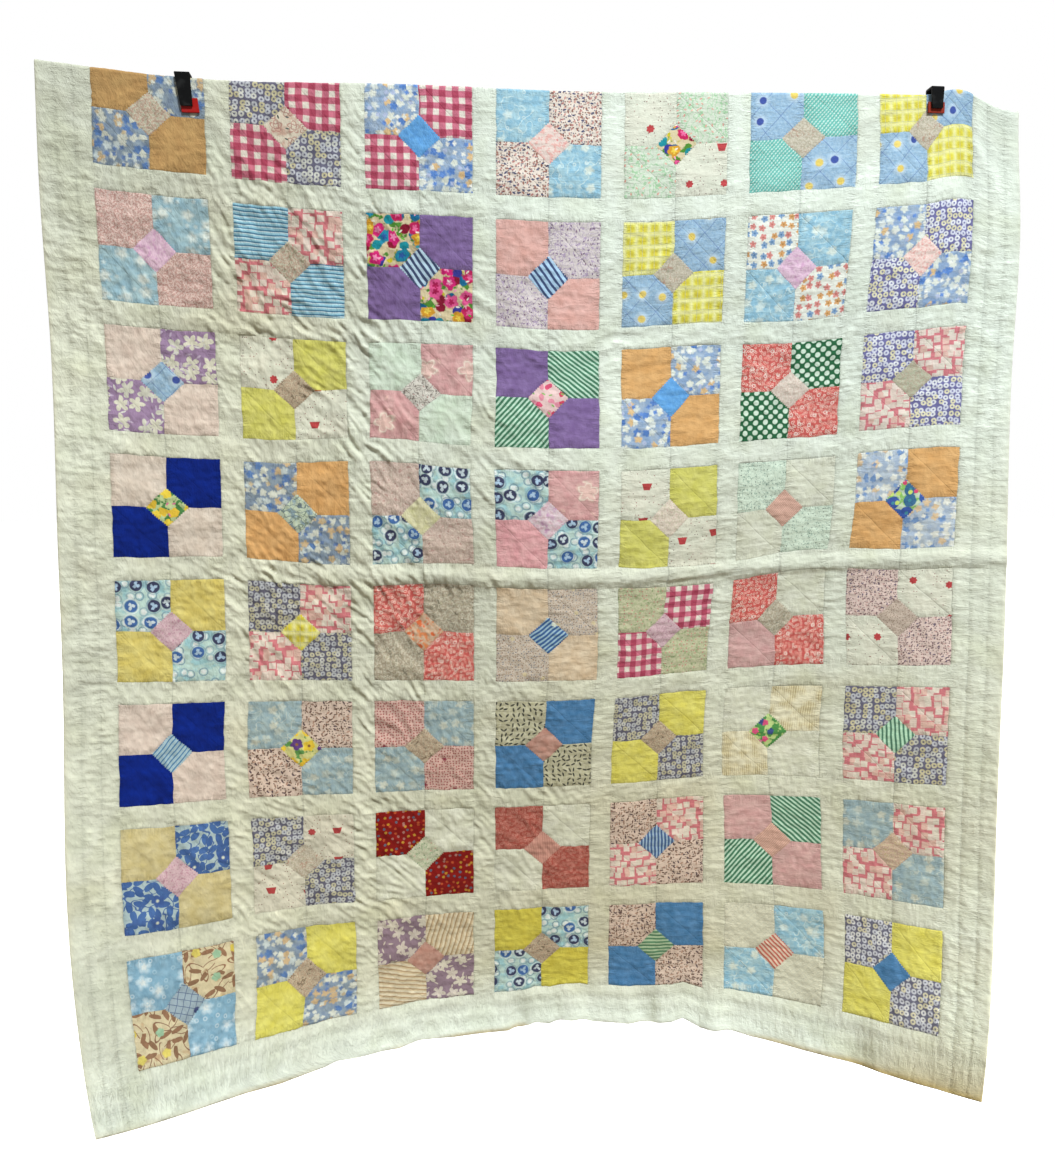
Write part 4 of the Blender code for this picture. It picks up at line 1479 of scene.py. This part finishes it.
# The cloths of each block: upper left and lower right, upper right and lower left, and centre.
blockCloths = (
    (
        "amber greyDaisy mossMottle",
        "slateRing crimsonGingham roseOutline",
        "brightDaisy crimsonGingham cornflower",
        "skyFaded creamDitsy coralGeo",
        "redPots mintCoral carnival",
        "blueTrellis tealCheck tanMottle",
        "lemonPlaid blueTrellis tanMottle",
    ),
    (
        "dustyTweed blossomBlue orchid",
        "turquoiseStripe pinkTiles mossMottle",
        "carnival purple navyStripe",
        "salmon lilacSprig navyPale",
        "lemonPlaid blueTrellis tanMottle",
        "tinyTulips skyFaded orchid",
        "brightDaisy violetRing roseBlotch",
    ),
    (
        "palePink lilacBlossom blueTrellis",
        "redPots lemon brownMottle",
        "paleMint bloomSalmon greyTwig",
        "purple greenDiagonal poppy",
        "orange brightDaisy cornflower",
        "coralRing polkaGreen creamPink",
        "violetRing pinkTiles oliveMottle",
    ),
    (
        "shellPink cobalt posy",
        "greyDaisy orange leafLine",
        "blushBlotch aquaDiscs yellowMist",
        "aquaDiscs bloomSalmon lilacMist",
        "redPots lemon palePinkPrint",
        "mintTwig bleached salmonStripe",
        "palerDaisy orange blueCircles",
    ),
    (
        "aquaDiscs butter orchidPale",
        "greyRing pinkTiles lemonPlaid",
        "coralRing greyOlive orangeCream",
        "beige tanDitsy blueDiagonal",
        "oliveCoral crimsonGingham orchidPale",
        "coralRing bleached greyOlive",
        "pinkDitsy redPots tanFine",
    ),
    (
        "palePink cobalt blueTicking",
        "dustyBlue brownDitsy pansy",
        "pinkTweed dustyBlue brownMottle",
        "dashes midBlue terracotta",
        "greyRing brightYellow brownMottle",
        "bleached pinstripe garden",
        "slateRing pinkTiles greenStripe",
    ),
    (
        "paleButter blueLeaves orchidPale",
        "greyRing redTulips tanMottle",
        "ditsyRed bleached greenTwig",
        "coralTweed bleached roseStripe",
        "brownDitsy pinkTiles blueStripe",
        "orchidPink greenDiagonal salmonStripe",
        "dustyBlue pinkTiles ochreMottle",
    ),
    (
        "skyBlossom leafScroll fineGrid",
        "greyDaisy brightYellow brownMottle",
        "plumBlossom tanStripe terracotta",
        "goldLemon aquaDiscs brownMottle",
        "brownDitsy midBlue greenTicking",
        "creamCross skyFaded redTicking",
        "darkRing brightYellow midBlue",
    ),
)
# Cloths that kept their dye, where the others are a little washed out.
unwashed = ("cobalt", "purple", "polkaGreen", "ditsyRed", "midBlue", "carnival")
# Cloths whose lower left patch was cut across the print.
cutAcross = ("greenDiagonal", "tanStripe")

# The finish of all cloths. Sizes are in millimetres.
finishPlan = {
    "roughness": 0.86,
    "specular": 0.15,
    "fade": 0.07,
    "fadeSize": 70,
    "threads": 0.04,
    "threadSize": 1.1,
    "threadStretch": 0.6,
    "threadHeight": 0.12,
    "seamShadow": 0.05,
    "seamWidth": 1.1,
    "seamDepth": 0.35,
    "noSeam": 30,
    "quiltingShadow": 0.08,
    "quiltingWidth": 0.8,
    "quiltingDepth": 0.25,
    "plainShadow": 0.16,
    "plainWidth": 1.5,
    "stitchLength": 4.2,
    "stitchDepth": 0.35,
    "puckerWide": 6,
    "puckerLong": 26,
    "puckerReach": 14,
    "levelShare": 0.35,
    "uprightShare": 0.5,
    "leastShare": 0.12,
    "slantSize": 7,
    "slantTurn": 58,
    "slantStretch": 5,
    "slantShare": 0.75,
    "pucker": 1.6,
    "puckerShade": 0.16,
    "crumple": 1.1,
    "crumpleSize": 9,
    # Strength of the painted shade in hollows and the painted highlight on crests, by the relief's height.
    "wear": 0.30,
    "paintedShadingPerMetre": 100,
    "backPuckerShare": 0.5,
    "bumpDistance": 0.001,  # metres
    "washed": 0.05,
    "washedTo": "e4e4d8",
    # Dye of the stains and yellowing, which also paints some shade.
    "stain": "d2b483",
    "stainedAndShadedShare": 0.6,
    "muslinMottle": 120,
}


# Soft swells with a thin crease along the middle of each.
crinkle = {"swell": 0.7, "creaseHalfWidth": 0.06, "creaseDepth": 4}


def crinkled(noise):
    swell = noise - 0.5
    crease = (crinkle["creaseHalfWidth"] - abs(swell)).most(0)
    return swell * crinkle["swell"] - crease * crinkle["creaseDepth"]


# Faded, with stains, painted shade and highlight over puckers and folds, painted shadow along seams and
# quilting lines, thread texture, the dip of each seam and the dimples of the quilting.
# across and down are the distances in millimetres to the nearest upright and level seams.
def sewnFinish(
    loom, colour, across, down, seams, quilting, quiltingWidth, quiltingShadow, run, stainedAndShaded, washed,
    dented=True,
):
    plan = finishPlan
    fade = loom.noise(plan["fadeSize"], detail=3) - 0.5
    threads = loom.noise(plan["threadSize"], 0, plan["threadStretch"], 1, 1) - 0.5
    short = plan["puckerWide"]
    long = plan["puckerLong"]
    pull = loom.attribute("pull")
    nearSeam = across.hill(plan["puckerReach"]) + pull * plan["levelShare"] + plan["leastShare"]
    level = crinkled(loom.noise(short, 0, long / short, 2)) * nearSeam
    nearSeam = down.hill(plan["puckerReach"]) + (1 - pull) * plan["uprightShare"] + plan["leastShare"]
    upright = crinkled(loom.noise(long, 0, short / long, 3)) * nearSeam
    if dented:
        slant = crinkled(loom.noise(plan["slantSize"], plan["slantTurn"], plan["slantStretch"], 5))
        puckers = level + upright + slant * (1 - pull) * plan["slantShare"]
    else:
        puckers = level * plan["backPuckerShare"] + upright
    seamHill = seams.hill(plan["seamWidth"])
    quiltHill = quilting.hill(quiltingWidth)
    lightness = 1 + fade * 2 * plan["fade"] + threads * 2 * plan["threads"]
    # Painted shade and highlight from the puckers, the relief and the table of brighter and darker places.
    lightness = lightness + puckers * plan["puckerShade"] + loom.attribute("wear")
    lightness = lightness * (1 - seamHill * plan["seamShadow"])
    lightness = lightness * (1 - quiltHill * quiltingShadow)
    colour = loom.mix(plan["washed"] * washed, colour, plan["washedTo"])
    colour = loom.shade(colour, lightness)
    # Stains and yellowing multiplied in, partly painted shade.
    colour = loom.mix(loom.attribute("stain") * stainedAndShaded, colour, plan["stain"], "MULTIPLY")
    loom.join(colour, "Base Color")
    if dented:
        stitch = run.maths("PINGPONG", run / plan["stitchLength"], 0.5) * 2
        crumple = loom.noise(plan["crumpleSize"], detail=3) - 0.5
        height = threads * plan["threadHeight"] + crumple * plan["crumple"]
        height = height + puckers * plan["pucker"]
        height = height - seamHill * plan["seamDepth"]
        height = height - quiltHill * (plan["quiltingDepth"] + stitch * plan["stitchDepth"])
        inputs = {"Height": height, "Distance": plan["bumpDistance"], "Strength": 1.0}
        loom.join(loom.node("ShaderNodeBump", {}, inputs), "Normal")
    return loom.material


def makeFabric(name):
    loom = startCloth(name)
    colour = None
    for laid in [mottle(*mottledCloths[name])] if name in mottledCloths else fabrics[name]:
        colour = laid if isinstance(laid, str) else laid(loom, colour)
    mm = 1000
    x, y = loom.split(loom.piecing)
    x = x * mm
    y = y * mm
    half = cloth["block"] * mm / 2
    centre = abs(x) + abs(y)
    centreLine = abs(centre - cloth["centreReach"] * mm) / math.sqrt(2)
    within = (centre < cloth["centreReach"] * mm) * 50  # the middle lines stop at the centre square
    across = abs(abs(x) - half).least(abs(x) + within)
    down = abs(abs(y) - half).least(abs(y) + within)
    seams = across.least(down).least(centreLine)
    slant = abs(abs(x - y) - half) / math.sqrt(2)
    run = x + y * 0.5
    width = finishPlan["quiltingWidth"]
    shadow = finishPlan["quiltingShadow"]
    stainedAndShaded = finishPlan["stainedAndShadedShare"]
    washed = 0.0 if name in unwashed else 1.0
    return sewnFinish(loom, colour, across, down, seams, slant, width, shadow, run, stainedAndShaded, washed)


def makeMuslin(name, inks, stainedAndShaded=1.0, dented=True):
    loom = startCloth(name)
    colour = mottle(finishPlan["muslinMottle"], inks)(loom, None)
    across, down = loom.split(loom.piecing)
    across = across * 1000
    down = down * 1000
    flatAcross, flatDown = loom.split(loom.flat)
    run = (flatAcross + flatDown) * 1000
    nearer = across.least(down)
    seams = nearer + finishPlan["noSeam"]
    width = finishPlan["plainWidth"]
    shadow = finishPlan["plainShadow"]
    return sewnFinish(loom, colour, across, down, seams, nearer, width, shadow, run, stainedAndShaded, 0.0, dented)


# The quilt's grid, in cells for each block, sash and border.
gridPlan = {
    "block": 58,
    "sash": 13,
    "border": 24,
    "fineTop": 14,  # cells at the tops of the first blocks that are halved, where they go over the fold
    "topBorder": 11,
    "backBlock": 24,
    "backSash": 6,
    "backBorder": 12,
    "backTopBorder": 10,
    "backFineTop": 6,
}
patchNames = ("upperLeft", "upperRight", "lowerRight", "lowerLeft", "centre")
# Patches that were cut from another cloth than their twin: row, column and patch, from 1.
oddPatches = {
    (4, 4, "lowerLeft"): "salmonPink",
    (5, 6, "lowerLeft"): "orchidPink",
}
madeCloths = {}


def fabric(name):
    if name not in madeCloths:
        madeCloths[name] = makeFabric(name)
    return madeCloths[name]


def bandOf(lines, first, last):
    places = (lines[:-1] + lines[1:]) / 2
    return np.nonzero((places > first) & (places < last))[0]


# Cells along the centre square's edges are split on their diagonal, so that its seams are clean.
def splitAtCentre(cells, x, y):
    away = np.abs(x) + np.abs(y) - cloth["centreReach"]
    state = np.where(np.abs(away) < 0.0003, 0, np.sign(away))[cells]
    crossing = (state.min(axis=1) < 0) & (state.max(axis=1) > 0)
    faces = list(cells[~crossing])
    for cell, marks in zip(cells[crossing], state[crossing]):
        start = 0 if marks[0] == 0 else 1
        a, b, c, d = np.roll(cell, -start)
        faces += [np.array([a, b, c]), np.array([a, c, d])]
    return faces


def makeBlock(skin, row, column):
    left = blockLefts[column]
    top = blockTops[row]
    rows = bandOf(skin["q"], top, top + cloth["block"])
    columns = bandOf(skin["p"], left, left + cloth["block"])
    x = skin["pp"].ravel() - left - cloth["block"] / 2
    y = skin["qq"].ravel() - top - cloth["block"] / 2
    faces = splitAtCentre(cellCorners(skin, rows, columns), x, y)
    middles = np.array([(x[face].mean(), y[face].mean()) for face in faces])
    patch = np.where(middles[:, 1] < 0, np.where(middles[:, 0] < 0, 0, 1), np.where(middles[:, 0] < 0, 3, 2))
    patch = np.where(np.abs(middles).sum(axis=1) < cloth["centreReach"], 4, patch)
    main, other, centre = blockCloths[row][column].split()
    names = [main, other, main, other, centre]
    for number, patchName in enumerate(patchNames):
        names[number] = oddPatches.get((row + 1, column + 1, patchName), names[number])
    slots = sorted(set(names))
    cut = np.random.default_rng(row * 10 + column).uniform(0, 3, (5, 2))
    return makePiece(
        f"block_row{row + 1}_column{column + 1}",
        skin,
        faces,
        [fabric(name) for name in slots],
        np.stack([x, y], axis=1),
        np.array([slots.index(names[number]) for number in patch]),
        cut[patch],
        (patch == 3) & (other in cutAcross),
    )


def muslinLines(skin):
    across, down = seamDistances(skin["pp"].ravel(), skin["qq"].ravel())
    return np.stack([across, down], axis=1)


# Plain cloth between two lines across and two lines down, less any blocks.
def makePlain(name, skin, across, down, material, lines, backwards=False):
    cells = cellCorners(skin, bandOf(skin["q"], *down), bandOf(skin["p"], *across))
    if backwards:
        cells = cells[:, ::-1]
    else:
        x = skin["pp"].ravel()[cells].mean(axis=1)
        y = skin["qq"].ravel()[cells].mean(axis=1)
        half = cloth["block"] / 2
        inside = np.zeros(len(cells), dtype=bool)
        for left in blockLefts:
            for top in blockTops:
                inside |= (np.abs(x - left - half) < half) & (np.abs(y - top - half) < half)
        cells = cells[~inside]
    return makePiece(name, skin, list(cells), [material], lines)


def buildQuilt():
    names = ("block", "sash", "border", "topBorder", "fineTop")
    front = makeSkin(1, *[gridPlan[name] for name in names])
    names = ("backBlock", "backSash", "backBorder", "backTopBorder", "backFineTop")
    back = makeSkin(-1, *[gridPlan[name] for name in names])
    print("skins ready", front["points"].shape, back["points"].shape)
    for row in range(cloth["rows"]):
        for column in range(cloth["columns"]):
            makeBlock(front, row, column)
    print("blocks ready, in", len(madeCloths), "cloths")
    muslin = makeMuslin("muslin", "d9e0cc e3eadc dee6d5")
    backing = makeMuslin("backingMuslin", "dcd9c2 e8e6d6", stainedAndShaded=0.35, dented=False)
    lines = muslinLines(front)
    far = clothWidth
    blocksEnd = blockTops[-1] + cloth["block"]
    breaks = (cloth["border"], middlesAcross[2], middlesAcross[4], far - cloth["border"])
    for number, name in enumerate(("left", "middle", "right")):
        across = breaks[number : number + 2]
        for row, top in enumerate(blockTops):
            foot = blockTops[row + 1] if row + 1 < cloth["rows"] else blocksEnd
            makePlain(f"sashing_row{row + 1}_{name}", front, across, (top, foot), muslin, lines)
        makePlain(f"border_foot_{name}", front, across, (blocksEnd, frontLength), muslin, lines)
        across = (far * number / 3, far * (number + 1) / 3)
        makePlain(f"border_top_{name}", front, across, (-cloth["border"], 0), muslin, lines)
    ends = (0, blockTops[2], blockTops[4], blockTops[6], frontLength)
    for number in range(4):
        down = ends[number : number + 2]
        for name, across in (("left", (0, cloth["border"])), ("right", (far - cloth["border"], far))):
            makePlain(f"border_{name}_{number + 1}", front, across, down, muslin, lines)
    backLines = muslinLines(back)
    ends = (-cloth["border"], blockTops[3], blockTops[6], frontLength)
    for number in range(3):
        down = ends[number : number + 2]
        for name, across in (("left", (0, far / 2)), ("right", (far / 2, far))):
            title = f"backing_{name}_{number + 1}"
            makePlain(title, back, across, down, backing, backLines, backwards=True)


buildQuilt()
print("quilt ready")

# The clips keep their shapes and get their finishes.
clipFinish = {
    "black": "030303",
    "blackRoughness": 0.7,
    "red": "9e1512",
    "brick": "8e3020",
    "redRoughness": 0.5,
    "specular": 0.08,
    "grain": 260,
    "grainShade": 0.25,
    "scuffs": 40,
    "scuffStart": 0.56,
    "scuffSoft": 0.08,
    "scuffShare": 0.03,
    "scuffInk": "9a9a98",
    "bumpDistance": 0.0002,
    "bumpStrength": 0.6,
}


def clipMaterial(name, ink, roughness):
    plan = clipFinish
    loom = startMaterial(name, roughness, plan["specular"])
    place = loom.node("ShaderNodeTexCoord", {}, {}, "Object")
    inputs = {"Vector": place, "Scale": plan["grain"], "Detail": 3}
    grain = loom.node("ShaderNodeTexNoise", {}, inputs) - 0.5
    inputs = {"Vector": place, "Scale": plan["scuffs"], "Detail": 4}
    scuffs = loom.node("ShaderNodeTexNoise", {}, inputs) - plan["scuffStart"]
    scuffs = (scuffs / plan["scuffSoft"]).clamped()
    colour = loom.shade(ink, 1 + grain * plan["grainShade"])
    colour = loom.mix(scuffs * plan["scuffShare"], colour, plan["scuffInk"])
    loom.join(colour, "Base Color")
    inputs = {"Height": grain, "Distance": plan["bumpDistance"], "Strength": plan["bumpStrength"]}
    loom.join(loom.node("ShaderNodeBump", {}, inputs), "Normal")
    return loom.material


def finishClips():
    black = clipMaterial("clipPlastic", clipFinish["black"], clipFinish["blackRoughness"])
    red = clipMaterial("clipPadRed", clipFinish["red"], clipFinish["redRoughness"])
    brick = clipMaterial("clipPadBrick", clipFinish["brick"], clipFinish["redRoughness"])
    for name in clips:
        pad = red if name == "clip_left" else brick
        for part, finish in (("body", black), ("front_pad", pad), ("back_pad", pad)):
            node = bpy.data.objects[f"{name}_{part}"]
            node.material_slots[0].material = finish


finishClips()
print("clips ready")

# A pale studio: a plain floor, dim warm surroundings, a soft key lamp in front, above and to the right,
# and a fill lamp behind and to the left.
studio = {
    "floorHeight": -2.2,
    "floorReach": 40,
    "floor": "f6f6f4",
    "floorGlow": 0.75,
    "floorRoughness": 0.9,
    "floorSpecular": 0.15,
    "above": (0.42, 0.407, 0.378),
    "below": (0.245, 0.23, 0.20),
    "keyPlace": (4.2, -12.0, 12.6),
    "lampAim": (0, 0, -0.9),
    "keyColour": (0.92, 1.0, 1.07),
    "keyPower": 4120,
    "keySize": 3,
    "fillPlace": (-5.0, 11.0, 9.0),
    "fillColour": (1.0, 0.99, 0.97),
    "fillPower": 2000,
    "fillSize": 4,
}


def addFloor():
    reach = studio["floorReach"]
    mesh = bpy.data.meshes.new("floor")
    corners = [(-reach, -reach, 0), (reach, -reach, 0), (reach, reach, 0), (-reach, reach, 0)]
    mesh.from_pydata(corners, [], [(0, 1, 2, 3)])
    floor = bpy.data.objects.new("floor", mesh)
    floor.location.z = studio["floorHeight"]
    floor.visible_diffuse = False
    bpy.context.scene.collection.objects.link(floor)
    loom = startMaterial("paleFloor", studio["floorRoughness"], studio["floorSpecular"])
    loom.shader.inputs["Base Color"].default_value = dye(studio["floor"])
    loom.shader.inputs["Emission Color"].default_value = (1, 1, 1, 1)
    loom.shader.inputs["Emission Strength"].default_value = studio["floorGlow"]
    mesh.materials.append(loom.material)


def addLight():
    world = bpy.data.worlds.new("studio")
    world.use_nodes = True
    bpy.context.scene.world = world
    loom = Loom(world.node_tree)
    place = loom.node("ShaderNodeTexCoord", {}, {}, "Generated")
    height = loom.split(place)[0].output("Z")
    around = loom.mix((height * 0.5 + 0.5).clamped(), (*studio["below"], 1), (*studio["above"], 1))
    seen = loom.node("ShaderNodeLightPath", {}, {}, "Is Camera Ray")
    colour = loom.mix(seen, around, (1, 1, 1, 1))
    background = world.node_tree.nodes["Background"]
    loom.tree.links.new(colour.socket, background.inputs["Color"])
    for name in ("key", "fill"):
        lamp = bpy.data.lights.new(name, "AREA")
        lamp.energy = studio[name + "Power"]
        lamp.size = studio[name + "Size"]
        lamp.color = studio[name + "Colour"]
        holder = bpy.data.objects.new(name, lamp)
        holder.location = studio[name + "Place"]
        away = Vector(studio[name + "Place"]) - Vector(studio["lampAim"])
        holder.rotation_euler = away.to_track_quat("Z", "Y").to_euler()
        bpy.context.scene.collection.objects.link(holder)
    bpy.context.scene.view_settings.view_transform = "Standard"


addFloor()
addLight()
print("studio ready")
